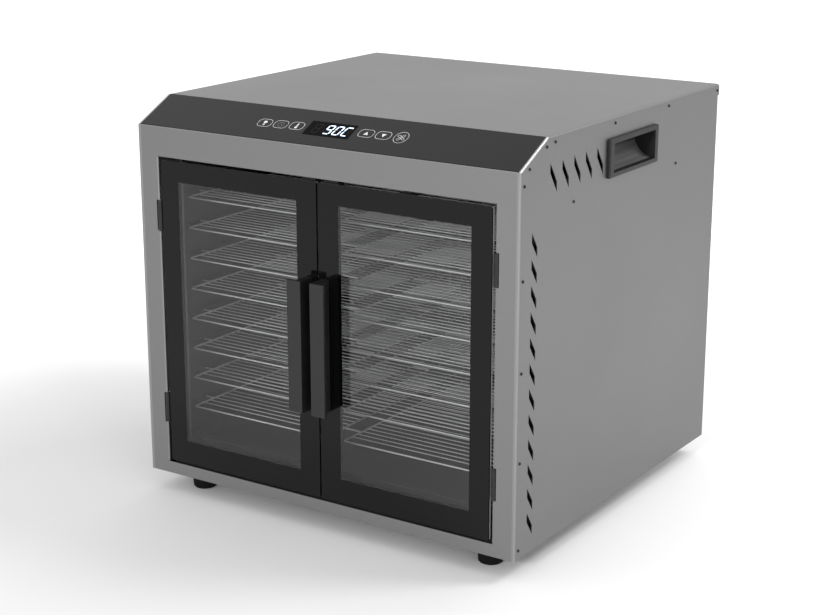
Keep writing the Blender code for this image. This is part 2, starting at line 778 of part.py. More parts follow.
def make_chamber_ceiling(materials, cabinet):
    return make_object(
        "chamber_ceiling",
        box_shape(
            (-CHAMBER_HALF - SHEET, FLOOR_FRONT, CEILING),
            (CHAMBER_HALF + SHEET, BACK_WALL - GAP, CEILING + SHEET),
        ),
        materials["bare_steel"],
        cabinet,
    )


def make_chamber_back(materials, cabinet):
    half = CHAMBER_HALF + WALL_FLANGE
    back = make_object(
        "chamber_back_wall",
        box_shape(
            (-half, BACK_WALL, FLOOR_HEIGHT - SHEET),
            (half, BACK_WALL + SHEET, CEILING + SHEET),
        ),
        materials["bare_steel"],
        cabinet,
    )
    openings = bmesh.new()
    row_pitch = WALL_SLOT_HEIGHT + 2 * WALL_SLOT_WIDTH
    for row in range(WALL_SLOT_ROWS):
        middle = FAN_HEIGHT + (row - (WALL_SLOT_ROWS - 1) / 2) * row_pitch
        for column in range(WALL_SLOT_COLUMNS):
            x = (column - (WALL_SLOT_COLUMNS - 1) / 2) * WALL_SLOT_PITCH
            add_box(
                openings,
                (x - WALL_SLOT_WIDTH / 2, BACK_WALL - BIG, middle - WALL_SLOT_HEIGHT / 2),
                (x + WALL_SLOT_WIDTH / 2, BACK_WALL + BIG, middle + WALL_SLOT_HEIGHT / 2),
            )
    x, height = probe_place()
    start = (x, BACK_WALL - BIG, height)
    add_rod(openings, start, (x, BACK_WALL + BIG, height), PROBE_RADIUS + GAP, 16)
    return cut(back, openings, cabinet)


def probe_place():
    """x and height of the temperature probe, above the highest tray."""
    return -CHAMBER_HALF * SENSOR_SIDE_SHARE, (HIGHEST_TRAY + CEILING) / 2


def make_temperature_probe(materials, cabinet):
    x, height = probe_place()
    tip = BACK_WALL - PROBE_REACH
    rear = BACK_WALL + SHEET + PROBE_TAIL
    probe = make_object(
        "temperature_probe",
        rod_shape((x, tip, height), (x, rear, height), PROBE_RADIUS, 16),
        materials["stainless_wire"],
        cabinet,
        smooth_deg=40,
    )
    seat = BACK_WALL + SHEET + GAP
    flange = rod_shape((x, seat, height), (x, seat + SHEET, height), PROBE_FLANGE_RADIUS, 16)
    return join(probe, flange, cabinet)


def make_tray(name, height, materials, cabinet):
    """A wire tray: a round-cornered frame bar with cross wires from side to side."""
    middle = (0.0, (TRAY_FRONT + TRAY_REAR) / 2, height)
    outline = rounded_rectangle(TRAY_HALF, TRAY_FRONT, TRAY_REAR, TRAY_CORNER)
    frame = prism_shape(outline, 2, height - TRAY_BAR / 2, height + TRAY_BAR / 2)
    tray = make_object(name, frame, materials["stainless_wire"], cabinet, origin=middle)
    slots = bmesh.new()
    first = TRAY_FRONT + TRAY_BAR
    last = TRAY_REAR - TRAY_BAR
    count = int((last - first) / TRAY_WIRE_PITCH)
    pitch = (last - first + TRAY_WIRE) / count
    half = TRAY_HALF - TRAY_BAR
    for i in range(count):
        low = first + i * pitch
        high = low + pitch - TRAY_WIRE
        in_corner = i in (0, count - 1)
        reach = TRAY_HALF - TRAY_CORNER if in_corner else half
        add_box(slots, (-reach, low, height - BIG / 4), (reach, high, height + BIG / 4))
    return cut(tray, slots, cabinet)


def make_drip_tray(height, materials, cabinet):
    """A shallow pan hung by its rim on the lowest ledges."""
    middle = (0.0, (TRAY_FRONT + TRAY_REAR) / 2, height)
    rim_bottom = height - TRAY_BAR / 2
    outline = rounded_rectangle(TRAY_HALF, TRAY_FRONT, TRAY_REAR, TRAY_CORNER)
    rim = prism_shape(outline, 2, rim_bottom, rim_bottom + SHEET)
    pan = make_object("drip_tray", rim, materials["bare_steel"], cabinet, origin=middle)
    half = TRAY_HALF - PAN_RIM
    front = TRAY_FRONT + PAN_RIM
    rear = TRAY_REAR - PAN_RIM
    well = rounded_rectangle(half, front, rear, PAN_CORNER)
    join(pan, prism_shape(well, 2, rim_bottom - PAN_DEPTH, rim_bottom + SHEET / 2), cabinet)
    hollow = rounded_rectangle(half - SHEET, front + SHEET, rear - SHEET, PAN_CORNER - SHEET)
    floor = rim_bottom - PAN_DEPTH + SHEET
    return cut(pan, prism_shape(hollow, 2, floor, height + BIG / 4), cabinet)


def side_span(side, near, far):
    """Low and high x of a piece whose distances from the middle are near and far."""
    return min(side * near, side * far), max(side * near, side * far)


def make_door(prefix, side, materials, cabinet):
    """Glass pane, pull handle, strike plate and the door's halves of its two hinges."""
    hinge = make_empty(f"{prefix}_door_axis", (side * OPENING_HALF, HINGE_AXIS_DEPTH, 0.0), cabinet)
    to_hinge = Vector((-side * OPENING_HALF, -HINGE_AXIS_DEPTH, 0.0))
    frame = make_empty(f"{prefix}_door_frame", to_hinge, hinge)
    width = DOOR_OUTER - DOOR_INNER
    centre = side * (DOOR_OUTER + DOOR_INNER) / 2
    outline = rounded_rectangle(width / 2, DOOR_BOTTOM, DOOR_TOP, GLASS_CORNER, 3)
    outline = [(centre + x, height) for x, height in outline]
    glass = make_object(
        f"{prefix}_door_glass",
        prism_shape(outline, 1, 0.0, GLASS_THICKNESS),
        materials["door_glass"],
        frame,
    )
    plate_in = DOOR_INNER + HANDLE_FROM_MEETING_EDGE
    screw_x = side * (plate_in + HANDLE_WEB_WIDTH / 2)
    holes = bmesh.new()
    for direction in (-1, 1):
        height = DOOR_CENTRE + direction * HANDLE_SCREW_SPACING / 2
        start = (screw_x, -BIG, height)
        add_rod(holes, start, (screw_x, BIG, height), HANDLE_SCREW_RADIUS, 16)
    cut(glass, holes, frame)
    make_pull_handle(f"{prefix}_door_handle", side, plate_in, materials, frame)
    strike_x, strike_depth, strike_height = STRIKE_SIZE
    low, high = side_span(side, plate_in, plate_in + strike_x)
    make_object(
        f"{prefix}_strike_plate",
        box_shape(
            (low, DOOR_BACK, DOOR_TOP - SHEET - strike_height),
            (high, DOOR_BACK + strike_depth, DOOR_TOP - SHEET),
        ),
        materials["bare_steel"],
        frame,
    )
    for word, middle in zip(("lower", "upper"), hinge_heights()):
        make_door_leaf(f"{prefix}_{word}_door_leaf", side, middle, materials, frame)


def make_pull_handle(name, side, plate_in, materials, frame):
    """An L-shaped bar: a flat front plate on a web that stands on the glass."""
    low, high = side_span(side, plate_in, plate_in + HANDLE_PLATE_WIDTH)
    bottom = DOOR_CENTRE - HANDLE_HEIGHT / 2
    top = DOOR_CENTRE + HANDLE_HEIGHT / 2
    web_end = side * (plate_in + HANDLE_WEB_WIDTH)
    web_start = side * plate_in
    plate_end = side * (plate_in + HANDLE_PLATE_WIDTH)
    plate_back = -HANDLE_REACH + HANDLE_PLATE_THICKNESS
    outline = [
        (web_start, -HANDLE_REACH),
        (plate_end, -HANDLE_REACH),
        (plate_end, plate_back),
        (web_end, plate_back),
        (web_end, -GAP),
        (web_start, -GAP),
    ]
    handle = make_object(name, prism_shape(outline, 2, bottom, top), materials["black_plastic"], frame)
    edge = handle.modifiers.new("edge", "BEVEL")
    edge.width = HANDLE_EDGE
    edge.segments = 2
    edge.limit_method = "ANGLE"
    return handle


def knuckle(shape, x, low, high):
    """One barrel of a hinge around the axis at x."""
    start = (x, HINGE_AXIS_DEPTH, low)
    add_rod(shape, start, (x, HINGE_AXIS_DEPTH, high), KNUCKLE_RADIUS, 20)


def pin_hole(x, middle):
    low = middle - HINGE_HEIGHT
    high = middle + HINGE_HEIGHT
    return rod_shape((x, HINGE_AXIS_DEPTH, low), (x, HINGE_AXIS_DEPTH, high), PIN_RADIUS + GAP, 20)


def make_door_leaf(name, side, middle, materials, frame):
    """A plate behind the glass with the hinge's middle barrel."""
    axis_x = side * OPENING_HALF
    half = HINGE_HEIGHT / 2
    third = HINGE_HEIGHT / 6
    plate_end = OPENING_HALF - KNUCKLE_RADIUS - NOTCH_CLEARANCE - GAP
    low, high = side_span(side, DOOR_OUTER - DOOR_LEAF_WIDTH, plate_end)
    leaf = make_object(
        name,
        box_shape((low, DOOR_BACK, middle - half), (high, DOOR_BACK + LEAF_THICKNESS, middle + half)),
        materials["hinge_black"],
        frame,
    )
    arm = bmesh.new()
    low, high = side_span(side, plate_end - SHEET, OPENING_HALF)
    barrel_low = middle - third + GAP / 2
    barrel_high = middle + third - GAP / 2
    arm_front = HINGE_AXIS_DEPTH + PIN_RADIUS + GAP
    add_box(arm, (low, arm_front, barrel_low), (high, DOOR_BACK + LEAF_THICKNESS, barrel_high))
    join(leaf, arm, frame)
    barrel = bmesh.new()
    knuckle(barrel, axis_x, barrel_low, barrel_high)
    join(leaf, barrel, frame)
    return cut(leaf, pin_hole(axis_x, middle), frame)


def make_frame_leaf(name, side, middle, materials, cabinet):
    """A plate behind the stile with the hinge's two end barrels."""
    axis_x = side * OPENING_HALF
    half = HINGE_HEIGHT / 2
    third = HINGE_HEIGHT / 6
    plate_start = OPENING_HALF + KNUCKLE_RADIUS + NOTCH_CLEARANCE + GAP
    front = SHEET + GAP
    low, high = side_span(side, plate_start, plate_start + FRAME_LEAF_WIDTH)
    leaf = make_object(
        name,
        box_shape((low, front, middle - half), (high, front + LEAF_THICKNESS, middle + half)),
        materials["hinge_black"],
        cabinet,
    )
    tabs = bmesh.new()
    barrels = bmesh.new()
    low, high = side_span(side, OPENING_HALF, plate_start + SHEET)
    for barrel_low, barrel_high in ((middle - half, middle - third), (middle + third, middle + half)):
        add_box(tabs, (low, front, barrel_low), (high, front + LEAF_THICKNESS, barrel_high))
        knuckle(barrels, axis_x, barrel_low, barrel_high)
    join(leaf, tabs, cabinet)
    join(leaf, barrels, cabinet)
    return cut(leaf, pin_hole(axis_x, middle), cabinet)


def make_hinge_pin(name, side, middle, materials, cabinet):
    x = side * OPENING_HALF
    half = HINGE_HEIGHT / 2
    low = (x, HINGE_AXIS_DEPTH, middle - half)
    high = (x, HINGE_AXIS_DEPTH, middle + half)
    pin = rod_shape(low, high, PIN_RADIUS, 20)
    return make_object(name, pin, materials["stainless_wire"], cabinet, smooth_deg=40)


def make_magnet_catch(name, side, materials, cabinet):
    start = DOOR_INNER + HANDLE_FROM_MEETING_EDGE
    low, high = side_span(side, start, start + STRIKE_SIZE[0])
    front = DOOR_BACK + STRIKE_SIZE[1] + GAP
    top = CEILING - GAP
    return make_object(
        name,
        box_shape((low, front, top - CATCH_HEIGHT), (high, front + CATCH_DEPTH, top)),
        materials["black_plastic"],
        cabinet,
    )


def make_foot(name, x, depth, materials, cabinet):
    """A tapered rubber foot turned about its upright axis."""
    profile = [(0.0, -GAP), (FOOT_TOP_RADIUS, -GAP)]
    bottom = -FOOT_HEIGHT
    centre = (FOOT_BOTTOM_RADIUS - FOOT_ROUNDING, bottom + FOOT_ROUNDING)
    profile += arc(centre, FOOT_ROUNDING, 0.0, -90.0, 3)
    profile += [(0.0, bottom)]
    shape = bmesh.new()
    verts = [shape.verts.new((x + radius, depth, height)) for radius, height in profile]
    edges = [shape.edges.new(pair) for pair in zip(verts, verts[1:])]
    bmesh.ops.spin(
        shape,
        geom=verts + edges,
        cent=(x, depth, 0.0),
        axis=(0.0, 0.0, 1.0),
        angle=math.tau,
        steps=28,
    )
    bmesh.ops.remove_doubles(shape, verts=shape.verts, dist=0.00001)
    return make_object(name, shape, materials["rubber_black"], cabinet, smooth_deg=35)


def make_fan(materials, cabinet):
    """Impeller and shaft on the fan's axis."""
    axis = make_empty("fan_axis", (0.0, FAN_DEPTH, FAN_HEIGHT), cabinet)
    half = FAN_HUB_LENGTH / 2
    hub = rod_shape((0.0, -half, 0.0), (0.0, half, 0.0), FAN_HUB_RADIUS)
    fan = make_object("fan_impeller", hub, materials["fan_aluminium"], axis, smooth_deg=40)
    blades = bmesh.new()
    root = FAN_HUB_RADIUS * BLADE_ROOT_IN_HUB
    for index in range(FAN_BLADES):
        turn = Matrix.Rotation(math.tau * index / FAN_BLADES, 4, "Y")
        sections = []
        for step in range(FAN_BLADE_STEPS + 1):
            share = step / FAN_BLADE_STEPS
            radius = root + (FAN_RADIUS - root) * share
            chord = FAN_BLADE_CHORD * (BLADE_ROOT_CHORD + (1.0 - BLADE_ROOT_CHORD) * share)
            twist = BLADE_ROOT_TWIST + (BLADE_TIP_TWIST - BLADE_ROOT_TWIST) * share
            pitch = math.radians(FAN_BLADE_PITCH_DEG) * twist
            along = Vector((math.cos(pitch), math.sin(pitch), 0.0)) * chord / 2
            thick = Vector((-math.sin(pitch), math.cos(pitch), 0.0)) * FAN_BLADE_THICKNESS / 2
            up = Vector((0.0, 0.0, radius))
            corners = (up - along - thick, up + along - thick, up + along + thick, up - along + thick)
            sections.append([blades.verts.new(turn @ corner) for corner in corners])
        for near, far in zip(sections, sections[1:]):
            for i in range(4):
                j = (i + 1) % 4
                blades.faces.new((near[i], near[j], far[j], far[i]))
        blades.faces.new(list(reversed(sections[0])))
        blades.faces.new(sections[-1])
    join(fan, blades, axis)
    cut(fan, rod_shape((0.0, -BIG, 0.0), (0.0, BIG, 0.0), SHAFT_RADIUS + GAP), axis)
    shaft_end = MOTOR_FRONT + MOTOR_LENGTH - MOTOR_END_WALL - FAN_DEPTH - GAP
    shaft = rod_shape((0.0, -half, 0.0), (0.0, shaft_end, 0.0), SHAFT_RADIUS)
    make_object("fan_shaft", shaft, materials["stainless_wire"], axis, smooth_deg=40)


def make_motor(materials, cabinet):
    front = MOTOR_FRONT
    rear = front + MOTOR_LENGTH
    motor = make_object(
        "fan_motor",
        rod_shape((0.0, front, FAN_HEIGHT), (0.0, rear, FAN_HEIGHT), MOTOR_RADIUS, 32),
        materials["motor_grey"],
        cabinet,
        smooth_deg=40,
    )
    nose = front - GAP - BRACKET_THICKNESS - MOTOR_BOSS_LENGTH
    boss = rod_shape((0.0, nose, FAN_HEIGHT), (0.0, front + SHEET, FAN_HEIGHT), MOTOR_BOSS_RADIUS)
    join(motor, boss, cabinet)
    bore_end = rear - MOTOR_END_WALL
    bore = rod_shape((0.0, nose - BIG, FAN_HEIGHT), (0.0, bore_end, FAN_HEIGHT), SHAFT_RADIUS + GAP)
    return cut(motor, bore, cabinet)


def make_motor_bracket(materials, cabinet):
    """A hat-shaped strip between the rear panel and the motor's face."""
    half = BRACKET_WIDTH / 2
    front = BRACKET_FRONT
    thick = BRACKET_THICKNESS
    rear = REAR_PANEL_FRONT - GAP
    outline = [
        (-half, front),
        (half, front),
        (half, rear - thick),
        (half + BRACKET_FOOT, rear - thick),
        (half + BRACKET_FOOT, rear),
        (half - thick, rear),
        (half - thick, front + thick),
        (-half + thick, front + thick),
        (-half + thick, rear),
        (-half - BRACKET_FOOT, rear),
        (-half - BRACKET_FOOT, rear - thick),
        (-half, rear - thick),
    ]
    low = FAN_HEIGHT - BRACKET_HEIGHT / 2
    high = FAN_HEIGHT + BRACKET_HEIGHT / 2
    bracket = make_object(
        "motor_bracket", prism_shape(outline, 2, low, high), materials["bare_steel"], cabinet
    )
    hole = rod_shape(
        (0.0, front - BIG / 4, FAN_HEIGHT),
        (0.0, front + BIG / 4, FAN_HEIGHT),
        MOTOR_BOSS_RADIUS + GAP,
    )
    return cut(bracket, hole, cabinet)


def make_heater(materials, cabinet):
    """A sheathed ring around the fan whose two ends run back to a ceramic block."""
    ring = HEATER_RADIUS
    block_width, block_depth, block_height = HEATER_BLOCK
    leg_end = REAR_PANEL_FRONT - GAP - block_depth - GAP
    opening = (block_width / 2 - 2 * HEATER_TUBE + HEATER_BEND) / ring
    bend = HEATER_BEND
    points = []
    for i in range(HEATER_RING_STEPS + 1):
        angle = opening + (math.tau - 2 * opening) * i / HEATER_RING_STEPS
        points.append(Vector((ring * math.sin(angle), 0.0, -ring * math.cos(angle))))

    def leg(corner, inward):
        """From the ring's end round a bend to the block."""
        run = []
        for i in range(1, HEATER_BEND_STEPS + 1):
            turn = math.pi / 2 * i / HEATER_BEND_STEPS
            run.append(
                corner
                + inward * bend * math.sin(turn)
                + Vector((0.0, bend * (1.0 - math.cos(turn)), 0.0))
            )
        last = run[-1]
        run.append(Vector((last.x, leg_end - FAN_DEPTH, last.z)))
        return run

    start = leg(points[0], Vector((-math.cos(opening), 0.0, 0.0)))
    finish = leg(points[-1], Vector((math.cos(opening), 0.0, 0.0)))
    path = list(reversed(start)) + points + finish
    curve = bpy.data.curves.new("heating_element", "CURVE")
    curve.dimensions = "3D"
    curve.bevel_depth = HEATER_TUBE
    curve.bevel_resolution = 2
    curve.use_fill_caps = True
    spline = curve.splines.new("POLY")
    spline.points.add(len(path) - 1)
    for point, place in zip(spline.points, path):
        point.co = (*place, 1.0)
    heater = bpy.data.objects.new("heating_element", curve)
    heater.data.materials.append(materials["heater_steel"])
    heater.parent = cabinet
    heater.location = (0.0, FAN_DEPTH, FAN_HEIGHT)
    bpy.context.scene.collection.objects.link(heater)
    rear = REAR_PANEL_FRONT - GAP
    middle = FAN_HEIGHT - ring
    make_object(
        "heater_terminal_block",
        box_shape(
            (-block_width / 2, rear - block_depth, middle - block_height / 2),
            (block_width / 2, rear, middle + block_height / 2),
        ),
        materials["ceramic_white"],
        cabinet,
    )


def make_thermal_cutout(materials, cabinet):
    x = CHAMBER_HALF * SENSOR_SIDE_SHARE
    height = (HIGHEST_TRAY + CEILING) / 2
    seat = BACK_WALL + SHEET + GAP
    disc = rod_shape((x, seat, height), (x, seat + CUTOUT_THICKNESS, height), CUTOUT_RADIUS)
    cutout = make_object("thermal_cutout", disc, materials["black_plastic"], cabinet, smooth_deg=40)
    flange = box_shape(
        (x - CUTOUT_EAR, seat, height - CUTOUT_RADIUS / 2),
        (x + CUTOUT_EAR, seat + SHEET, height + CUTOUT_RADIUS / 2),
    )
    return join(cutout, flange, cabinet)


def make_power_board(materials, cabinet):
    """The supply board on four short legs, with its transformer, relay and capacitor."""
    width, length = POWER_BOARD
    seat = CEILING + SHEET + GAP
    top = seat + POWER_BOARD_LIFT + BOARD_THICKNESS
    rear = BACK_WALL - length / 2
    front = rear - length
    board = make_object(
        "power_board",
        box_shape((-width / 2, front, top - BOARD_THICKNESS), (width / 2, rear, top)),
        materials["circuit_green"],
        cabinet,
    )
    parts = bmesh.new()
    inset = POST_SIDE
    for x in (-width / 2 + inset, width / 2 - inset):
        for depth in (front + inset, rear - inset):
            add_box(
                parts,
                (x - POST_SIDE / 2, depth - POST_SIDE / 2, seat),
                (x + POST_SIDE / 2, depth + POST_SIDE / 2, top - BOARD_THICKNESS / 2),
            )
    sunk = top - BOARD_THICKNESS / 2
    for size, centre_x, centre_depth in (
        (TRANSFORMER, -width / 4, front + length / 2),
        (RELAY, width / 4, front + length / 4),
    ):
        add_box(
            parts,
            (centre_x - size[0] / 2, centre_depth - size[1] / 2, sunk),
            (centre_x + size[0] / 2, centre_depth + size[1] / 2, top + size[2]),
        )
    foot = (width / 4, rear - length / 4, sunk)
    add_rod(parts, foot, (foot[0], foot[1], top + CAPACITOR_HEIGHT), CAPACITOR_RADIUS, 16)
    return join(board, parts, cabinet)


def make_power_inlet(materials, cabinet):
    """A panel socket for a detachable mains lead, with its three flat pins."""
    face = REAR_PANEL_FRONT + SHEET + GAP

    def around(size, near, far):
        return box_shape(
            (INLET_X - size[0] / 2, near, INLET_HEIGHT - size[2] / 2),
            (INLET_X + size[0] / 2, far, INLET_HEIGHT + size[2] / 2),
        )

    outer = face + INLET_FLANGE[1]
    inlet = make_object(
        "power_inlet", around(INLET_FLANGE, face, outer), materials["black_plastic"], cabinet
    )
    join(inlet, around(INLET_BODY, outer - INLET_BODY[1], face + GAP), cabinet)
    cut(inlet, around(INLET_SOCKET, outer - INLET_SOCKET[1], outer + BIG), cabinet)
    pins = bmesh.new()
    back = outer - INLET_SOCKET[1] - GAP
    width, length, height = INLET_PIN
    low = -INLET_PIN_OFFSET
    for x, z in ((-INLET_PIN_SPACING, low), (0.0, INLET_PIN_OFFSET), (INLET_PIN_SPACING, low)):
        add_box(
            pins,
            (INLET_X + x - width / 2, back, INLET_HEIGHT + z - height / 2),
            (INLET_X + x + width / 2, back + length + GAP, INLET_HEIGHT + z + height / 2),
        )
    return join(inlet, pins, cabinet)


def main():
    remove_everything()
    materials = make_materials()
    front_plane = -(BODY_DEPTH - HANDLE_REACH) / 2
    cabinet = make_empty("cabinet", (0.0, front_plane, FOOT_HEIGHT))
    slope = slope_empty(cabinet)
    make_outer_shell(materials, cabinet)
    make_front_frame(materials, cabinet)
    make_base_pan(materials, cabinet)
    make_rear_panel(materials, cabinet)
    make_control_panel(materials, cabinet, slope)
    make_display(materials, slope)
    make_chamber_floor(materials, cabinet)
    make_chamber_ceiling(materials, cabinet)
    make_chamber_back(materials, cabinet)
    make_temperature_probe(materials, cabinet)
    make_thermal_cutout(materials, cabinet)
    make_fan(materials, cabinet)
    make_motor(materials, cabinet)
    make_motor_bracket(materials, cabinet)
    make_heater(materials, cabinet)
    make_power_board(materials, cabinet)
    make_power_inlet(materials, cabinet)
    heights = tray_heights()
    make_drip_tray(heights[0], materials, cabinet)
    for number, height in enumerate(heights[1:], start=1):
        make_tray(f"wire_tray_{number}", height, materials, cabinet)
    for prefix, side in (("left", -1), ("right", 1)):
        make_chamber_wall(f"{prefix}_chamber_wall", side, materials, cabinet)
        make_carry_handle(f"{prefix}_carry_handle", side, materials, cabinet)
        make_door(prefix, side, materials, cabinet)
        make_magnet_catch(f"{prefix}_magnet_catch", side, materials, cabinet)
        for word, middle in zip(("lower", "upper"), hinge_heights()):
            make_frame_leaf(f"{prefix}_{word}_frame_leaf", side, middle, materials, cabinet)
            make_hinge_pin(f"{prefix}_{word}_hinge_pin", side, middle, materials, cabinet)
        x = side * (HALF_WIDTH - FOOT_SIDE_INSET)
        make_foot(f"front_{prefix}_foot", x, FOOT_END_INSET, materials, cabinet)
        make_foot(f"rear_{prefix}_foot", x, BODY_DEPTH - FOOT_END_INSET, materials, cabinet)


main()
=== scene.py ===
"""Looks of a countertop food dehydrator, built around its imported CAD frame."""

import math

import bmesh
import bpy
from mathutils import Matrix, Vector


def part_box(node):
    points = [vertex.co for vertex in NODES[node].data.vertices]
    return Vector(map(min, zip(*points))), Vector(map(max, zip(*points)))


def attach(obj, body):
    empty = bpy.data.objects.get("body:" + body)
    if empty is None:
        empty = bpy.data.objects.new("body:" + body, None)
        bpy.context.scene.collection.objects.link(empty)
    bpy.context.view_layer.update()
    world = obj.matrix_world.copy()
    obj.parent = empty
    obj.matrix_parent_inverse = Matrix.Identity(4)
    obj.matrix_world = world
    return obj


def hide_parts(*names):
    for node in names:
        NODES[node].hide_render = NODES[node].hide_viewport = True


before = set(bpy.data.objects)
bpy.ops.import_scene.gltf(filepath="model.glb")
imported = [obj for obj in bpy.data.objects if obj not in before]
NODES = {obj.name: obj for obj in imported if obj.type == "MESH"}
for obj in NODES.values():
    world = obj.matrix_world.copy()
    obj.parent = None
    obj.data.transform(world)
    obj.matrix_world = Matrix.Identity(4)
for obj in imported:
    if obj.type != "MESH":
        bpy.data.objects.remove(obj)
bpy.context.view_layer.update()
MM = 0.001

# Camera and studio, in metres and degrees
CAMERA_PLACE = (0.9954, -1.5414, 0.7131)
CAMERA_AZIMUTH = 33.476
CAMERA_ELEVATION = 15.961
CAMERA_LENS_MM = 77.58
SENSOR_MM = 36.0

# Places that the frame gives
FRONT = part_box("front_frame")[0].y
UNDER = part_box("outer_shell")[0].z
CASING_LOW, CASING_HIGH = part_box("outer_shell")
HALF_WIDTH = CASING_HIGH.x
DOOR_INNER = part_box("right_door_glass")[0].x
DOOR_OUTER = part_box("right_door_glass")[1].x
DOOR_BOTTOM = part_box("right_door_glass")[0].z
DOOR_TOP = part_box("right_door_glass")[1].z

# Printed border of a door, measured in from the pane's edges
BORDER_INNER = 24 * MM
BORDER_OUTER = 22 * MM
BORDER_BOTTOM = 25 * MM
BORDER_TOP = 20.5 * MM

# A pane's edge faces with painted highlights: how far in they reach, and how far back the painted highlight
# starts
EDGE_ZONE = 2 * MM
OUTER_HIGHLIGHT_SETBACK = 1.7 * MM
INNER_HIGHLIGHT_SETBACK = 2.5 * MM

# Looks of a pane
BORDER_BLACK = (0.0028, 0.0028, 0.003)
BORDER_GLOSS = 0.2
LEVEL_EDGE = (0.07, 0.075, 0.073)
# Painted highlights on a pane's outer and inner edge faces, each varying between two tones
OUTER_EDGE_HIGHLIGHT = ((0.38, 0.39, 0.385), (0.5, 0.51, 0.505))
INNER_EDGE_HIGHLIGHT = ((0.5, 0.5, 0.5), (0.7, 0.7, 0.7))
GLASS_TINT = (0.91, 0.915, 0.915, 1.0)
GLASS_IOR = 1.56

# Looks of the carry handles
CARRY_GLOSS = 0.36
POCKET_STARTS = 1 * MM
# Painted light on the pocket's upward faces
POCKET_PAINTED_LIGHT = ((0.085, 0.085, 0.085), (0.1, 0.1, 0.1))

# Heights of the surface reliefs
HAIRLINE_RELIEF = 0.04 * MM
GRAIN_RELIEF = 0.05 * MM
DRAWN_RELIEF = 0.03 * MM
PEEL_RELIEF = 0.04 * MM


def at(x, depth, height):
    """A place from the middle, behind the front plane and above the casing's underside."""
    return Vector((x, FRONT + depth, UNDER + height))


# ---------------------------------------------------------------- materials


class Nodes:
    """A material's node tree, with short ways to add and join nodes."""

    def __init__(self, name):
        self.material = bpy.data.materials.new(name)
        self.material.use_nodes = True
        self.tree = self.material.node_tree
        self.shader = self.tree.nodes["Principled BSDF"]
        self.output = self.tree.nodes["Material Output"]
        self.place = self.add("ShaderNodeTexCoord").outputs["Object"]

    def add(self, kind, **values):
        node = self.tree.nodes.new(kind)
        for key, value in values.items():
            setattr(node, key, value)
        return node

    def link(self, source, target):
        self.tree.links.new(source, target)

    def math(self, operation, a, b=0.0):
        node = self.add("ShaderNodeMath", operation=operation)
        for socket, value in zip(node.inputs, (a, b)):
            if isinstance(value, (int, float)):
                socket.default_value = value
            else:
                self.link(value, socket)
        return node.outputs[0]

    def noise(self, scale, detail=3.0, stretch=(1.0, 1.0, 1.0), roughness=0.5):
        mapping = self.add("ShaderNodeMapping")
        mapping.inputs["Scale"].default_value = stretch
        self.link(self.place, mapping.inputs["Vector"])
        node = self.add("ShaderNodeTexNoise")
        node.inputs["Scale"].default_value = scale
        node.inputs["Detail"].default_value = detail
        node.inputs["Roughness"].default_value = roughness
        self.link(mapping.outputs["Vector"], node.inputs["Vector"])
        return node.outputs["Fac"]

    def spread(self, value, low, high, from_low=0.3, from_high=0.7):
        node = self.add("ShaderNodeMapRange")
        node.inputs["From Min"].default_value = from_low
        node.inputs["From Max"].default_value = from_high
        node.inputs["To Min"].default_value = low
        node.inputs["To Max"].default_value = high
        self.link(value, node.inputs["Value"])
        return node.outputs["Result"]

    def colours(self, factor, first, second):
        node = self.add("ShaderNodeMix", data_type="RGBA")
        node.inputs[6].default_value = (*first, 1.0)
        node.inputs[7].default_value = (*second, 1.0)
        self.link(factor, node.inputs[0])
        return node.outputs[2]

    def blend(self, factor, first, second):
        """A mix of two colour sockets."""
        node = self.add("ShaderNodeMix", data_type="RGBA")
        self.link(factor, node.inputs[0])
        self.link(first, node.inputs[6])
        self.link(second, node.inputs[7])
        return node.outputs[2]

    def mix(self, factor, first, second):
        """A mix of two scalar sockets."""
        node = self.add("ShaderNodeMix", data_type="FLOAT")
        self.link(factor, node.inputs[0])
        self.link(first, node.inputs[2])
        self.link(second, node.inputs[3])
        return node.outputs[0]

    def bump(self, height, strength, distance):
        node = self.add("ShaderNodeBump")
        node.inputs["Strength"].default_value = strength
        node.inputs["Distance"].default_value = distance
        self.link(height, node.inputs["Height"])
        self.link(node.outputs["Normal"], self.shader.inputs["Normal"])

    def between(self, value, low, high):
        """1 where value lies between low and high."""
        above = self.math("GREATER_THAN", value, low)
        below = self.math("LESS_THAN", value, high)
        return self.math("MULTIPLY", above, below)


def shade(colour, factor):
    return tuple(channel * factor for channel in colour)


def sheet_steel(name, colour, roughness, contrast):
    """Fine-brushed sheet. Hairlines run side to side on top and front, front to back on the sides."""
    n = Nodes(name)
    split = n.add("ShaderNodeSeparateXYZ")
    n.link(n.tree.nodes["Texture Coordinate"].outputs["Normal"], split.inputs[0])
    upward = n.math("GREATER_THAN", n.math("ABSOLUTE", split.outputs["Z"]), 0.5)
    wall = n.noise(1.0, 4.0, (6.0, 6.0, 2400.0), 0.6)
    lid = n.noise(1.0, 4.0, (6.0, 2400.0, 6.0), 0.6)
    hairline = n.mix(upward, wall, lid)
    cloud = n.noise(5.0, 2.0)
    n.shader.inputs["Metallic"].default_value = 1.0
    n.link(
        n.colours(n.spread(hairline, 0.0, 1.0), shade(colour, 1.0 - contrast), shade(colour, 1.0 + contrast)),
        n.shader.inputs["Base Color"],
    )
    rough = n.math(
        "ADD",
        n.spread(hairline, roughness - 0.05, roughness + 0.05),
        n.spread(cloud, -0.03, 0.03),
    )
    n.link(rough, n.shader.inputs["Roughness"])
    n.bump(hairline, 0.15, HAIRLINE_RELIEF)
    return n.material


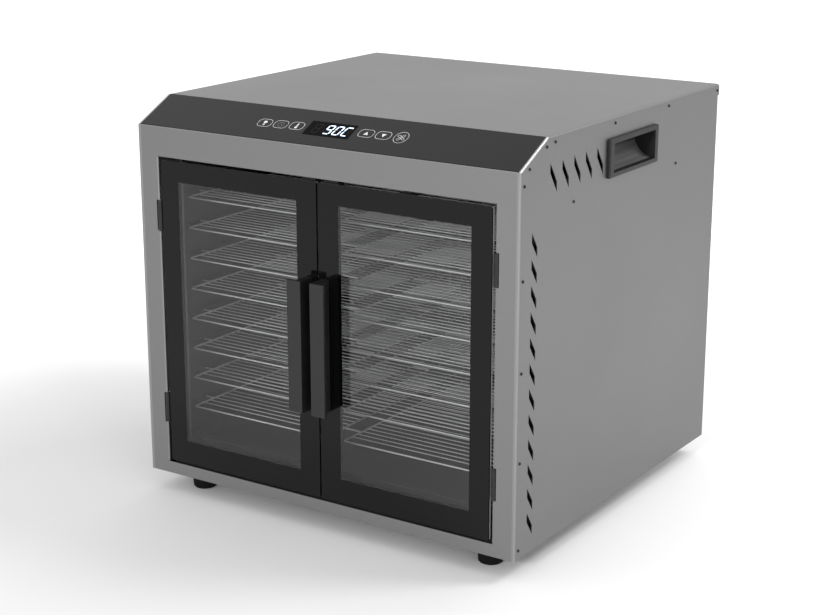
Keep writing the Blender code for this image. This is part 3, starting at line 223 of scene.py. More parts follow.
def moulded(name, colour, roughness, grain=0.25, grain_scale=1800.0, variation=0.12, specular=0.5):
    """Moulded plastic: a fine spark-eroded grain with slow changes of gloss."""
    n = Nodes(name)
    n.shader.inputs["Specular IOR Level"].default_value = specular
    grain_height = n.noise(grain_scale, 2.0)
    cloud = n.noise(18.0, 3.0)
    n.link(
        n.colours(n.spread(cloud, 0.0, 1.0), shade(colour, 1.0 - variation), shade(colour, 1.0 + variation)),
        n.shader.inputs["Base Color"],
    )
    n.link(n.spread(cloud, roughness - 0.05, roughness + 0.05), n.shader.inputs["Roughness"])
    n.bump(grain_height, grain, GRAIN_RELIEF)
    return n.material


def drawn_metal(name, colour, roughness, variation=0.08, scale=400.0, metallic=1.0):
    """Wire, pins, tube and castings: faint drawing marks and uneven polish."""
    n = Nodes(name)
    marks = n.noise(scale, 3.0)
    cloud = n.noise(30.0, 2.0)
    n.shader.inputs["Metallic"].default_value = metallic
    n.link(
        n.colours(n.spread(cloud, 0.0, 1.0), shade(colour, 1.0 - variation), shade(colour, 1.0 + variation)),
        n.shader.inputs["Base Color"],
    )
    n.link(n.spread(marks, roughness - 0.06, roughness + 0.06), n.shader.inputs["Roughness"])
    n.bump(marks, 0.1, DRAWN_RELIEF)
    return n.material


def carry_plastic(name, colour, roughness):
    """Grained plastic, with painted light inside the pocket where it faces upward."""
    n = Nodes(name)
    n.shader.inputs["Specular IOR Level"].default_value = CARRY_GLOSS
    grain = n.noise(1500.0, 2.0)
    cloud = n.noise(18.0, 3.0)
    facing = n.add("ShaderNodeSeparateXYZ")
    n.link(n.tree.nodes["Texture Coordinate"].outputs["Normal"], facing.inputs[0])
    place = n.add("ShaderNodeSeparateXYZ")
    n.link(n.place, place.inputs[0])
    inside = n.math("LESS_THAN", n.math("ABSOLUTE", place.outputs["X"]), HALF_WIDTH - POCKET_STARTS)
    # Painted light: upward faces inside the pocket are given the lighter pocket tones
    upward = n.math("MULTIPLY", n.spread(facing.outputs["Z"], 0.0, 1.0, 0.05, 0.6), inside)
    plain = n.colours(n.spread(cloud, 0.0, 1.0), shade(colour, 0.88), shade(colour, 1.12))
    painted_light = n.colours(n.spread(cloud, 0.0, 1.0), *POCKET_PAINTED_LIGHT)
    n.link(n.blend(upward, plain, painted_light), n.shader.inputs["Base Color"])
    n.link(n.spread(cloud, roughness - 0.05, roughness + 0.05), n.shader.inputs["Roughness"])
    n.bump(grain, 0.35, GRAIN_RELIEF)
    return n.material


def coated(name, colour, roughness, metallic=0.0, coat=0.0, specular=0.5):
    """Paint, print or lacquer with slight orange peel."""
    n = Nodes(name)
    n.shader.inputs["Specular IOR Level"].default_value = specular
    peel = n.noise(260.0, 2.0)
    cloud = n.noise(12.0, 2.0)
    n.shader.inputs["Metallic"].default_value = metallic
    n.shader.inputs["Coat Weight"].default_value = coat
    n.shader.inputs["Coat Roughness"].default_value = 0.08
    n.link(
        n.colours(n.spread(cloud, 0.0, 1.0), shade(colour, 0.92), shade(colour, 1.08)),
        n.shader.inputs["Base Color"],
    )
    n.link(n.spread(cloud, roughness - 0.03, roughness + 0.03), n.shader.inputs["Roughness"])
    n.bump(peel, 0.05, PEEL_RELIEF)
    return n.material


def glowing(name, colour, strength):
    n = Nodes(name)
    level = n.noise(300.0, 1.0)
    n.shader.inputs["Base Color"].default_value = (*colour, 1.0)
    n.shader.inputs["Emission Color"].default_value = (*colour, 1.0)
    n.link(n.spread(level, strength * 0.95, strength * 1.05), n.shader.inputs["Emission Strength"])
    return n.material


def door_pane(name, side):
    """Tempered glass: clear window, black print round it, and painted highlights on its outer and inner edge
    faces.
    """
    n = Nodes(name)
    texture = n.tree.nodes["Texture Coordinate"]
    place = n.add("ShaderNodeSeparateXYZ")
    n.link(texture.outputs["Object"], place.inputs[0])
    across = n.math("MULTIPLY", place.outputs["X"], side)
    wide = n.between(across, DOOR_INNER + BORDER_INNER, DOOR_OUTER - BORDER_OUTER)
    tall = n.between(place.outputs["Z"], DOOR_BOTTOM + BORDER_BOTTOM, DOOR_TOP - BORDER_TOP)
    window = n.math("MULTIPLY", wide, tall)

    smear = n.noise(14.0, 3.0)
    n.link(n.spread(smear, 0.05, 0.09), n.shader.inputs["Roughness"])
    n.shader.inputs["Specular IOR Level"].default_value = BORDER_GLOSS
    facing = n.add("ShaderNodeSeparateXYZ")
    n.link(texture.outputs["Normal"], facing.inputs[0])
    # Painted highlights: a light band on the outer edge face behind its front part, and glints along the
    # inner edge face
    edge = n.math("LESS_THAN", n.math("ABSOLUTE", facing.outputs["Y"]), 0.7)
    outer = n.math("GREATER_THAN", across, DOOR_OUTER - EDGE_ZONE)
    level = n.math("GREATER_THAN", n.math("ABSOLUTE", facing.outputs["Z"]), 0.7)
    behind = n.math("GREATER_THAN", place.outputs["Y"], FRONT + OUTER_HIGHLIGHT_SETBACK)
    outer_edge_highlight = n.math("MULTIPLY", n.math("MULTIPLY", edge, outer), behind)
    soft_edge = n.math("MULTIPLY", edge, level)
    glints = n.noise(1.0, 2.0, (1.0, 1.0, 60.0))
    deep = n.math("GREATER_THAN", place.outputs["Y"], FRONT + INNER_HIGHLIGHT_SETBACK)
    deep_edge = n.math("MULTIPLY", edge, deep)
    inner = n.math("MULTIPLY", deep_edge, n.math("LESS_THAN", across, DOOR_INNER + EDGE_ZONE))
    glint = n.math("MULTIPLY", n.spread(glints, 0.1, 0.5, 0.35, 0.65), inner)
    tone = n.colours(soft_edge, BORDER_BLACK, LEVEL_EDGE)
    tone = n.blend(outer_edge_highlight, tone, n.colours(glints, *OUTER_EDGE_HIGHLIGHT))
    tone = n.blend(glint, tone, n.colours(glints, *INNER_EDGE_HIGHLIGHT))
    n.link(tone, n.shader.inputs["Base Color"])

    clear = n.add("ShaderNodeBsdfTransparent")
    clear.inputs["Color"].default_value = GLASS_TINT
    gloss = n.add("ShaderNodeBsdfGlossy")
    gloss.inputs["Color"].default_value = (1.0, 1.0, 1.0, 1.0)
    n.link(n.spread(smear, 0.01, 0.04), gloss.inputs["Roughness"])
    fresnel = n.add("ShaderNodeFresnel")
    fresnel.inputs["IOR"].default_value = GLASS_IOR
    back = n.add("ShaderNodeNewGeometry").outputs["Backfacing"]
    share = n.math("MULTIPLY", fresnel.outputs[0], n.math("SUBTRACT", 1.0, back))
    glass = n.add("ShaderNodeMixShader")
    n.link(share, glass.inputs[0])
    n.link(clear.outputs[0], glass.inputs[1])
    n.link(gloss.outputs[0], glass.inputs[2])
    whole = n.add("ShaderNodeMixShader")
    n.link(window, whole.inputs[0])
    n.link(n.shader.outputs[0], whole.inputs[1])
    n.link(glass.outputs[0], whole.inputs[2])
    n.link(whole.outputs[0], n.output.inputs["Surface"])
    return n.material


STEEL = sheet_steel("satin_sheet", (0.226, 0.226, 0.228), 0.48, 0.035)
# Chamber sheet: the casing steel made darker, as painted shade for the inside of the closed chamber
SHADED_LINER = sheet_steel("liner_sheet_painted_shade", (0.14, 0.14, 0.14), 0.45, 0.05)
WIRE = drawn_metal("polished_wire", (0.6, 0.6, 0.6), 0.3)
TRAY_WIRE = drawn_metal("tray_wire", (0.62, 0.62, 0.62), 0.4, metallic=0.85)
BLACK = moulded("black_moulding", (0.009, 0.009, 0.009), 0.42, specular=0.4)
CARRY = carry_plastic("carry_moulding", (0.010, 0.010, 0.0104), 0.45)
PANEL = coated("panel_film", (0.006, 0.006, 0.0064), 0.3, specular=0.23)
LENS = coated("lens_gloss", (0.001, 0.001, 0.0016), 0.08, specular=0.03)
HINGE = coated("hinge_lacquer", (0.012, 0.012, 0.012), 0.28, 0.3)
RUBBER = moulded("foot_rubber", (0.005, 0.005, 0.005), 0.7, 0.5, 900.0, specular=0.1)
BOARD = coated("board_mask", (0.02, 0.09, 0.045), 0.4, 0.0, 0.3)
MOTOR = coated("motor_paint", (0.2, 0.2, 0.21), 0.45, 0.6)
ALUMINIUM = drawn_metal("fan_metal", (0.6, 0.6, 0.61), 0.4)
SHEATH = drawn_metal("heater_sheath", (0.16, 0.14, 0.12), 0.45, 0.25, 200.0)
CERAMIC = moulded("terminal_ceramic", (0.7, 0.69, 0.64), 0.6, 0.3, 600.0, 0.05)
SCREW = coated("screw_black", (0.012, 0.012, 0.012), 0.35, 0.5)
# Lighter copies of the satin sheet for the rolled hems and beads: painted highlights along those edges,
# brightest up the slope
HIGHLIT_EDGE_STEEL = sheet_steel("edge_painted_highlight", (0.29, 0.29, 0.292), 0.42, 0.03)
HIGHLIT_SLOPE_STEEL = sheet_steel("slope_rim_painted_highlight", (0.47, 0.47, 0.472), 0.4, 0.03)
PRINT = coated("printed_white", (0.62, 0.63, 0.64), 0.5)
PRINT_FAINT = coated("printed_grey", (0.16, 0.16, 0.165), 0.5)
GLOW = glowing("lit_segments", (0.66, 0.82, 1.0), 1.0)
UNLIT = coated("unlit_segments", (0.004, 0.002, 0.0025), 0.3, specular=0.08)
PANES = {"left": door_pane("left_pane", -1.0), "right": door_pane("right_pane", 1.0)}

FINISHES = {
    STEEL: ("outer_shell", "front_frame", "base_pan", "rear_panel"),
    SHADED_LINER: (
        "left_chamber_wall",
        "right_chamber_wall",
        "chamber_floor",
        "chamber_ceiling",
        "chamber_back_wall",
        "motor_bracket",
        "drip_tray",
        "left_strike_plate",
        "right_strike_plate",
    ),
    WIRE: ("temperature_probe", "fan_shaft"),
    BLACK: (
        "left_door_handle",
        "right_door_handle",
        "left_magnet_catch",
        "right_magnet_catch",
        "display_module",
        "thermal_cutout",
        "power_inlet",
    ),
    CARRY: ("left_carry_handle", "right_carry_handle"),
    PANEL: ("control_panel",),
    LENS: ("display_lens",),
    PANES["left"]: ("left_door_glass",),
    PANES["right"]: ("right_door_glass",),
    BOARD: ("control_board", "power_board"),
    MOTOR: ("fan_motor",),
    ALUMINIUM: ("fan_impeller",),
    SHEATH: ("heating_element",),
    CERAMIC: ("heater_terminal_block",),
}


def finish_cad_nodes():
    for material, names in FINISHES.items():
        for name in names:
            set_material(NODES[name], material)
    for name, node in NODES.items():
        if name.endswith("_leaf"):
            set_material(node, HINGE)
        if name.endswith("_hinge_pin"):
            set_material(node, WIRE)
        if name.endswith("_foot"):
            set_material(node, RUBBER)


def set_material(node, material):
    if not node.material_slots:
        node.data.materials.append(material)
    for slot in node.material_slots:
        slot.material = material


# ---------------------------------------------------------------- mesh tools


def new_piece(name, shape, material, body, smooth_deg=None):
    """A piece in the shared frame that rides on a body."""
    bmesh.ops.recalc_face_normals(shape, faces=shape.faces)
    mesh = bpy.data.meshes.new(name)
    shape.to_mesh(mesh)
    shape.free()
    if smooth_deg is not None:
        mesh.shade_smooth()
        mesh.set_sharp_from_angle(angle=math.radians(smooth_deg))
    piece = bpy.data.objects.new(name, mesh)
    piece.data.materials.append(material)
    bpy.context.scene.collection.objects.link(piece)
    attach(piece, body)
    return piece


def tube(shape, points, radius, sides=8, closed=False):
    """A round bar along points, mitred at each, with flat ends where it isn't closed."""
    count = len(points)
    rings = []
    for i, point in enumerate(points):
        before = points[(i - 1) % count] if closed or i > 0 else point
        after = points[(i + 1) % count] if closed or i < count - 1 else point
        along = (after - before).normalized()
        up = Vector((0.0, 0.0, 1.0))
        if abs(along.z) > 0.9:
            up = Vector((1.0, 0.0, 0.0))
        side = along.cross(up).normalized()
        over = side.cross(along).normalized()
        ring = []
        for k in range(sides):
            turn = math.tau * (k + 0.5) / sides
            offset = side * radius * math.cos(turn) + over * radius * math.sin(turn)
            ring.append(shape.verts.new(point + offset))
        rings.append(ring)
    pairs = list(zip(rings, rings[1:]))
    if closed:
        pairs.append((rings[-1], rings[0]))
    else:
        shape.faces.new(list(reversed(rings[0])))
        shape.faces.new(rings[-1])
    for near, far in pairs:
        for k in range(sides):
            m = (k + 1) % sides
            shape.faces.new((near[k], near[m], far[m], far[k]))


def corner_points(centre, radius, start_deg, end_deg, steps):
    points = []
    for i in range(steps + 1):
        turn = math.radians(start_deg + (end_deg - start_deg) * i / steps)
        points.append((centre[0] + radius * math.cos(turn), centre[1] + radius * math.sin(turn)))
    return points


def rounded_outline(low_a, high_a, low_b, high_b, radius, steps=6):
    points = corner_points((high_a - radius, low_b + radius), radius, -90.0, 0.0, steps)
    points += corner_points((high_a - radius, high_b - radius), radius, 0.0, 90.0, steps)
    points += corner_points((low_a + radius, high_b - radius), radius, 90.0, 180.0, steps)
    points += corner_points((low_a + radius, low_b + radius), radius, 180.0, 270.0, steps)
    return points


def ribbon(shape, place, points, width, thickness, closed=False):
    """A flat strip along 2-D points. place turns (a, b, out) into a point of the shared frame."""
    count = len(points)
    rows = []
    for i in range(count):
        here = Vector(points[i])
        before = Vector(points[(i - 1) % count]) if closed or i > 0 else here
        after = Vector(points[(i + 1) % count]) if closed or i < count - 1 else here
        back = (here - before).normalized() if here != before else (after - here).normalized()
        ahead = (after - here).normalized() if after != here else back
        along = (back + ahead).normalized()
        normal = Vector((-along.y, along.x))
        stretch = 1.0 / max(0.5, along.dot(ahead))
        offset = normal * width / 2 * stretch
        row = []
        for pair in (here - offset, here + offset):
            row.append(shape.verts.new(place(pair.x, pair.y, 0.0)))
            row.append(shape.verts.new(place(pair.x, pair.y, thickness)))
        rows.append(row)
    links = list(zip(rows, rows[1:]))
    if closed:
        links.append((rows[-1], rows[0]))
    else:
        for row in (rows[0], rows[-1]):
            shape.faces.new((row[0], row[1], row[3], row[2]))
    for a, b in links:
        shape.faces.new((a[0], b[0], b[1], a[1]))
        shape.faces.new((a[2], a[3], b[3], b[2]))
        shape.faces.new((a[1], b[1], b[3], a[3]))
        shape.faces.new((a[0], a[2], b[2], b[0]))


def plate(shape, place, points, thickness):
    """A flat filled shape with an edge."""
    low = [shape.verts.new(place(a, b, 0.0)) for a, b in points]
    high = [shape.verts.new(place(a, b, thickness)) for a, b in points]
    shape.faces.new(list(reversed(low)))
    shape.faces.new(high)
    count = len(points)
    for i in range(count):
        j = (i + 1) % count
        shape.faces.new((low[i], low[j], high[j], high[i]))


# ---------------------------------------------------------------- wire trays

FRAME_BAR = 0.9 * MM
CROSS_WIRE = 0.5 * MM
WIRE_PITCH = 9.4 * MM
FIRST_WIRE = 14.6 * MM
TRAY_CORNER = 4 * MM
PANEL_GAP_HALF = 10 * MM
PANEL_INSET = 9.5 * MM
REST_BAR = 0.9 * MM
REST_PLACES = (0.1, 0.5, 0.9)
WIRE_RISE = 0.63 * MM
TRAY_COUNT = 8


def make_wire_tray(number):
    """Two bar frames with cross wires on top. Stubs link them and carry them on the ledges."""
    low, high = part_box(f"wire_tray_{number}")
    level = low.z + FRAME_BAR
    wire_level = level + WIRE_RISE
    outer = high.x - PANEL_INSET - FRAME_BAR
    inner = PANEL_GAP_HALF + FRAME_BAR
    front, rear = low.y + FRAME_BAR, high.y - FRAME_BAR
    shape = bmesh.new()
    for side in (-1.0, 1.0):
        left, right = sorted((side * inner, side * outer))
        outline = rounded_outline(left, right, front, rear, TRAY_CORNER - FRAME_BAR)
        tube(shape, [Vector((x, y, level)) for x, y in outline], FRAME_BAR, 10, closed=True)
        y = low.y + FIRST_WIRE
        while y < rear - WIRE_PITCH / 2:
            ends = [Vector((side * x, y, wire_level)) for x in (inner, outer)]
            tube(shape, ends, CROSS_WIRE, 8)
            y += WIRE_PITCH
    for share in REST_PLACES:
        y = front + (rear - front) * share
        for start, end in ((low.x, -outer), (-inner, inner), (outer, high.x)):
            tube(shape, [Vector((start, y, level)), Vector((end, y, level))], REST_BAR, 8)
    tray = new_piece(f"tray_{number}_wires", shape, TRAY_WIRE, f"tray_{number}", 50)
    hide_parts(f"wire_tray_{number}")


# ---------------------------------------------------------------- touch panel prints

PRINT_THICKNESS = 0.08 * MM
LINE = 0.37 * MM
ICON_HEIGHT = 11.8 * MM
KEY_CORNER = 4.6 * MM
SLOPE_RUN = 49.2 * MM
SLOPE_DROP = 24.7 * MM
SLOPE_ANGLE = math.atan2(SLOPE_DROP, SLOPE_RUN)
SLOPE_MIDDLE = math.hypot(SLOPE_RUN, SLOPE_DROP) / 2

# Touch symbols, in millimetres across the panel and up its slope
KEY_SPANS = ((-87.4, -71.4), (-68.0, -52.2), (-48.8, -32.8), (32.4, 49.0), (52.2, 68.6))
KEY_LEVELS = (26.4, 27.0, 27.6, 28.8, 28.9)
LAMP_RISE = 1.3
LAMP_RADIUS = 2.1
LAMP_STEM = ((-0.9, -3.6), (0.9, -3.6), (0.9, -1.4), (-0.9, -1.4))
CLOCK_RADIUS = 3.4
CLOCK_HANDS = ((0.0, 2.2), (0.0, 0.0), (1.6, -0.9))
GAUGE_STEM = (-0.8, 0.8, -1.6, 3.9)
GAUGE_ROUNDING = 0.75
GAUGE_BULB_DROP = 2.6
GAUGE_BULB_RADIUS = 1.6
ARROW = ((-2.6, -2.2), (2.6, -2.2), (0.0, 2.8))
FAN_KEY = (80.4, 28.9)
FAN_KEY_RADIUS = 7.5
FAN_KEY_STRETCH = 1.14
FAN_HUB = 1.1
BLADE_COUNT = 4
BLADE_STEPS = 8
BLADE_ROOT = 1.2
BLADE_BULGE = 4.0
BLADE_LEAD_DEG = 20.0
BLADE_SWEEP_DEG = 75.0


def on_slope(x, along, out):
    """A point on the sloped panel: across, up the slope from its front edge, and out of it."""
    along_vector = Vector((0.0, math.cos(SLOPE_ANGLE), math.sin(SLOPE_ANGLE)))
    out_vector = Vector((0.0, -math.sin(SLOPE_ANGLE), math.cos(SLOPE_ANGLE)))
    foot = Vector((x, FRONT, CASING_HIGH.z - SLOPE_DROP))
    return foot + along_vector * along + out_vector * out


def key_frame(shape, left, right, middle):
    half = ICON_HEIGHT / 2
    outline = rounded_outline(left, right, middle - half, middle + half, KEY_CORNER)
    ribbon(shape, on_slope, outline, LINE, PRINT_THICKNESS, closed=True)


def circle_points(x, y, radius, steps=24):
    points = []
    for i in range(steps):
        turn = math.tau * i / steps
        points.append((x + radius * math.cos(turn), y + radius * math.sin(turn)))
    return points


def key_middle(index):
    left, right = KEY_SPANS[index]
    return (left + right) / 2 * MM, KEY_LEVELS[index] * MM


def make_touch_prints():
    bright = bmesh.new()
    faint = bmesh.new()
    for (left, right), level in zip(KEY_SPANS, KEY_LEVELS):
        key_frame(bright, left * MM, right * MM, level * MM)
    x, y = key_middle(0)
    plate(bright, on_slope, circle_points(x, y + LAMP_RISE * MM, LAMP_RADIUS * MM, 20), PRINT_THICKNESS)
    plate(bright, on_slope, [(x + a * MM, y + b * MM) for a, b in LAMP_STEM], PRINT_THICKNESS)
    x, y = key_middle(1)
    ribbon(faint, on_slope, circle_points(x, y, CLOCK_RADIUS * MM), LINE, PRINT_THICKNESS, closed=True)
    hands = [(x + a * MM, y + b * MM) for a, b in CLOCK_HANDS]
    ribbon(faint, on_slope, hands, LINE, PRINT_THICKNESS)
    x, y = key_middle(2)
    left, right, low, high = (value * MM for value in GAUGE_STEM)
    stem = rounded_outline(x + left, x + right, y + low, y + high, GAUGE_ROUNDING * MM, 4)
    plate(bright, on_slope, stem, PRINT_THICKNESS)
    bulb = circle_points(x, y - GAUGE_BULB_DROP * MM, GAUGE_BULB_RADIUS * MM, 16)
    plate(bright, on_slope, bulb, PRINT_THICKNESS)
    for index, up in ((3, 1.0), (4, -1.0)):
        x, y = key_middle(index)
        plate(bright, on_slope, [(x + a * MM, y + b * up * MM) for a, b in ARROW], PRINT_THICKNESS)
    x, y = FAN_KEY[0] * MM, FAN_KEY[1] * MM
    ring = circle_points(x, y, FAN_KEY_RADIUS * MM, 32)
    oval = [(px, y + (py - y) * FAN_KEY_STRETCH) for px, py in ring]
    ribbon(bright, on_slope, oval, LINE, PRINT_THICKNESS, closed=True)
    for blade in range(BLADE_COUNT):
        start = math.tau * blade / BLADE_COUNT + math.radians(BLADE_LEAD_DEG)
        petal = []
        for i in range(BLADE_STEPS + 1):
            share = i / BLADE_STEPS
            radius = (BLADE_ROOT + BLADE_BULGE * math.sin(math.pi * share)) * MM
            angle = start + math.radians(BLADE_SWEEP_DEG) * share
            petal.append((x + radius * math.cos(angle), y + radius * math.sin(angle)))
        ribbon(bright, on_slope, petal, LINE, PRINT_THICKNESS)
    ribbon(bright, on_slope, circle_points(x, y, FAN_HUB * MM, 12), LINE, PRINT_THICKNESS, closed=True)
    new_piece("touch_symbols", bright, PRINT, "cabinet")
    new_piece("touch_symbols_faint", faint, PRINT_FAINT, "cabinet")


DIGIT_WIDTH = 6.7 * MM
DIGIT_HEIGHT = 13.0 * MM
DIGIT_STEP = 10.5 * MM
DIGIT_LEAN = 0.14
FIRST_DIGIT = -2.0 * MM
BLANK_DIGIT_STEPS = 1.35
READING = "90C"
SEGMENT = 1.35 * MM
SEGMENT_GAP = 0.25 * MM
LIT = {"9": "abcdfg", "0": "abcdef", "C": "adef"}


def segment_ends(letter):
    half = DIGIT_HEIGHT / 2
    wide = DIGIT_WIDTH / 2
    ends = {
        "a": ((-wide, half), (wide, half)),
        "b": ((wide, half), (wide, 0.0)),
        "c": ((wide, 0.0), (wide, -half)),
        "d": ((-wide, -half), (wide, -half)),
        "e": ((-wide, 0.0), (-wide, -half)),
        "f": ((-wide, half), (-wide, 0.0)),
        "g": ((-wide, 0.0), (wide, 0.0)),
    }
    return ends[letter]


def add_segment(shape, centre, letter):
    """One bar with pointed ends, leaning with its digit."""
    (x0, y0), (x1, y1) = segment_ends(letter)
    start = Vector((x0, y0))
    end = Vector((x1, y1))
    along = (end - start).normalized()
    across = Vector((-along.y, along.x)) * SEGMENT / 2
    start += along * SEGMENT_GAP
    end -= along * SEGMENT_GAP
    tip = along * SEGMENT / 2
    outline = (start, start + tip - across, end - tip - across, end, end - tip + across, start + tip + across)
    points = []
    for point in outline:
        points.append((centre[0] + point.x + point.y * DIGIT_LEAN, centre[1] + point.y))
    plate(shape, on_slope, points, PRINT_THICKNESS)


def make_display():
    lit = bmesh.new()
    unlit = bmesh.new()
    for index, character in enumerate(READING):
        centre = (FIRST_DIGIT + index * DIGIT_STEP, SLOPE_MIDDLE)
        for letter in "abcdefg":
            add_segment(lit if letter in LIT[character] else unlit, centre, letter)
    for letter in "abcdefg":
        add_segment(unlit, (FIRST_DIGIT - DIGIT_STEP * BLANK_DIGIT_STEPS, SLOPE_MIDDLE), letter)
    new_piece("display_digits", lit, GLOW, "cabinet")
    new_piece("display_unlit", unlit, UNLIT, "cabinet")


# ---------------------------------------------------------------- screws

HEAD_RADIUS = 2.0 * MM
HEAD_HEIGHT = 1.0 * MM
SOCKET_RADIUS = 0.95 * MM
SOCKET_DEPTH = 0.7 * MM
SIDE_HEAD = 1.6 * MM
DOOR_HEAD = 2.2 * MM
HANDLE_SCREW_RISE = 48 * MM
LEAF_SCREW_RISE = 9.5 * MM
LEAF_SCREW_INSET = 3.5 * MM
LEAF_HEAD = 1.4 * MM
REAR_HEAD = 2.2 * MM
REAR_SCREW_INSET = 7 * MM
REAR_SCREW_ROWS = 4
REAR_SCREW_COLUMNS = 4

# A head's outline: share of its radius and of its height
HEAD_PROFILE = ((1.0, -0.15), (1.0, 0.25), (0.86, 0.72), (0.6, 1.0))
SOCKET_FLATS = 6


def add_screw(shape, point, out, radius=HEAD_RADIUS, height=HEAD_HEIGHT, sides=18):
    """A domed head with a six-sided socket, standing on point."""
    turn = Vector(out).to_track_quat("Z", "Y").to_matrix().to_4x4()
    placing = Matrix.Translation(point) @ turn
    rings = []
    for share, level in HEAD_PROFILE:
        ring = []
        for k in range(sides):
            angle = math.tau * k / sides
            reach = radius * share
            ring.append((reach * math.cos(angle), reach * math.sin(angle), height * level))
        rings.append(ring)
    scale = radius / HEAD_RADIUS
    half_flat = math.tau / SOCKET_FLATS / 2
    for level in (height, height - SOCKET_DEPTH * scale):
        ring = []
        for k in range(sides):
            angle = math.tau * k / sides
            sector = (angle % (2 * half_flat)) - half_flat
            flat = SOCKET_RADIUS * scale * math.cos(half_flat) / math.cos(sector)
            ring.append((flat * math.cos(angle), flat * math.sin(angle), level))
        rings.append(ring)
    made = [[shape.verts.new(placing @ Vector(p)) for p in ring] for ring in rings]
    for near, far in zip(made, made[1:]):
        for k in range(sides):
            m = (k + 1) % sides
            shape.faces.new((near[k], near[m], far[m], far[k]))
    shape.faces.new(list(reversed(made[0])))
    shape.faces.new(made[-1])


# Screws on each side: depth and height in millimetres
SIDE_SCREWS = (
    (7.5, 360.4),
    (7.5, 272.6),
    (7.5, 185.0),
    (7.5, 96.9),
    (7.5, 9.2),
    (16.3, 374.6),
    (47.0, 390.1),
    (62.9, 392.3),
    (181.7, 392.3),
    (300.4, 392.3),
    (100.6, 329.7),
    (321.6, 329.6),
    (419.5, 392.3),
)


def make_screws():
    for word, side in (("left", -1), ("right", 1)):
        shape = bmesh.new()
        for depth, height in SIDE_SCREWS:
            add_screw(shape, at(side * HALF_WIDTH, depth * MM, height * MM), (side, 0.0, 0.0), SIDE_HEAD)
        new_piece(f"{word}_side_screws", shape, SCREW, "cabinet", 40)
    make_door_screws()
    make_rear_screws()


def make_door_screws():
    """Two handle screws inside each pane, and two screws through each hinge's door leaf."""
    pane_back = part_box("right_door_glass")[1].y
    for word, side in (("left", -1), ("right", 1)):
        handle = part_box(f"{word}_door_handle")
        middle = (handle[0] + handle[1]) / 2
        shape = bmesh.new()
        for rise in (-HANDLE_SCREW_RISE, HANDLE_SCREW_RISE):
            add_screw(shape, (middle.x, pane_back, middle.z + rise), (0.0, 1.0, 0.0), DOOR_HEAD)
        for level in ("lower", "upper"):
            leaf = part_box(f"{word}_{level}_door_leaf")
            inner = leaf[0].x if side > 0 else leaf[1].x
            across = inner + side * LEAF_SCREW_INSET
            for rise in (-LEAF_SCREW_RISE, LEAF_SCREW_RISE):
                place = (across, leaf[1].y, (leaf[0].z + leaf[1].z) / 2 + rise)
                add_screw(shape, place, (0.0, 1.0, 0.0), LEAF_HEAD)
        new_piece(f"{word}_door_screws", shape, SCREW, f"{word}_door", 40)


def make_rear_screws():
    """Screws round the rear panel's border."""
    low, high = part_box("rear_panel")
    shape = bmesh.new()
    spots = []
    left, right = low.x + REAR_SCREW_INSET, high.x - REAR_SCREW_INSET
    bottom, top = low.z + REAR_SCREW_INSET, high.z - REAR_SCREW_INSET
    for i in range(REAR_SCREW_ROWS):
        level = bottom + (top - bottom) * i / (REAR_SCREW_ROWS - 1)
        spots += [(left, high.y, level), (right, high.y, level)]
    for i in range(1, REAR_SCREW_COLUMNS - 1):
        across = left + (right - left) * i / (REAR_SCREW_COLUMNS - 1)
        spots += [(across, high.y, bottom), (across, high.y, top)]
    for spot in spots:
        add_screw(shape, spot, (0.0, 1.0, 0.0), REAR_HEAD)
    new_piece("rear_screws", shape, SCREW, "cabinet", 40)


# ---------------------------------------------------------------- casing edges

HEM_PROUD = 0.42 * MM
HEM_ROUNDING = 1.4 * MM
HEM_RUNOUT = 3.2 * MM
SLOPE_RUNOUT = 2.0 * MM
HEM_SIDE_RUNOUT = 0.6 * MM
HEM_SUNK = 0.4 * MM
HEM_STEPS = 6
BEAD_ROUNDING = 1.3 * MM
BEAD_PROUD = 0.1 * MM
HINGE_SPACE = 0.6 * MM
BEAD_BELOW_DOOR = 2.0 * MM
BEAD_ABOVE_DOOR = 3.4 * MM
TOP_BEAD = 0.5 * MM
TOP_BEAD_RISE = 0.2 * MM


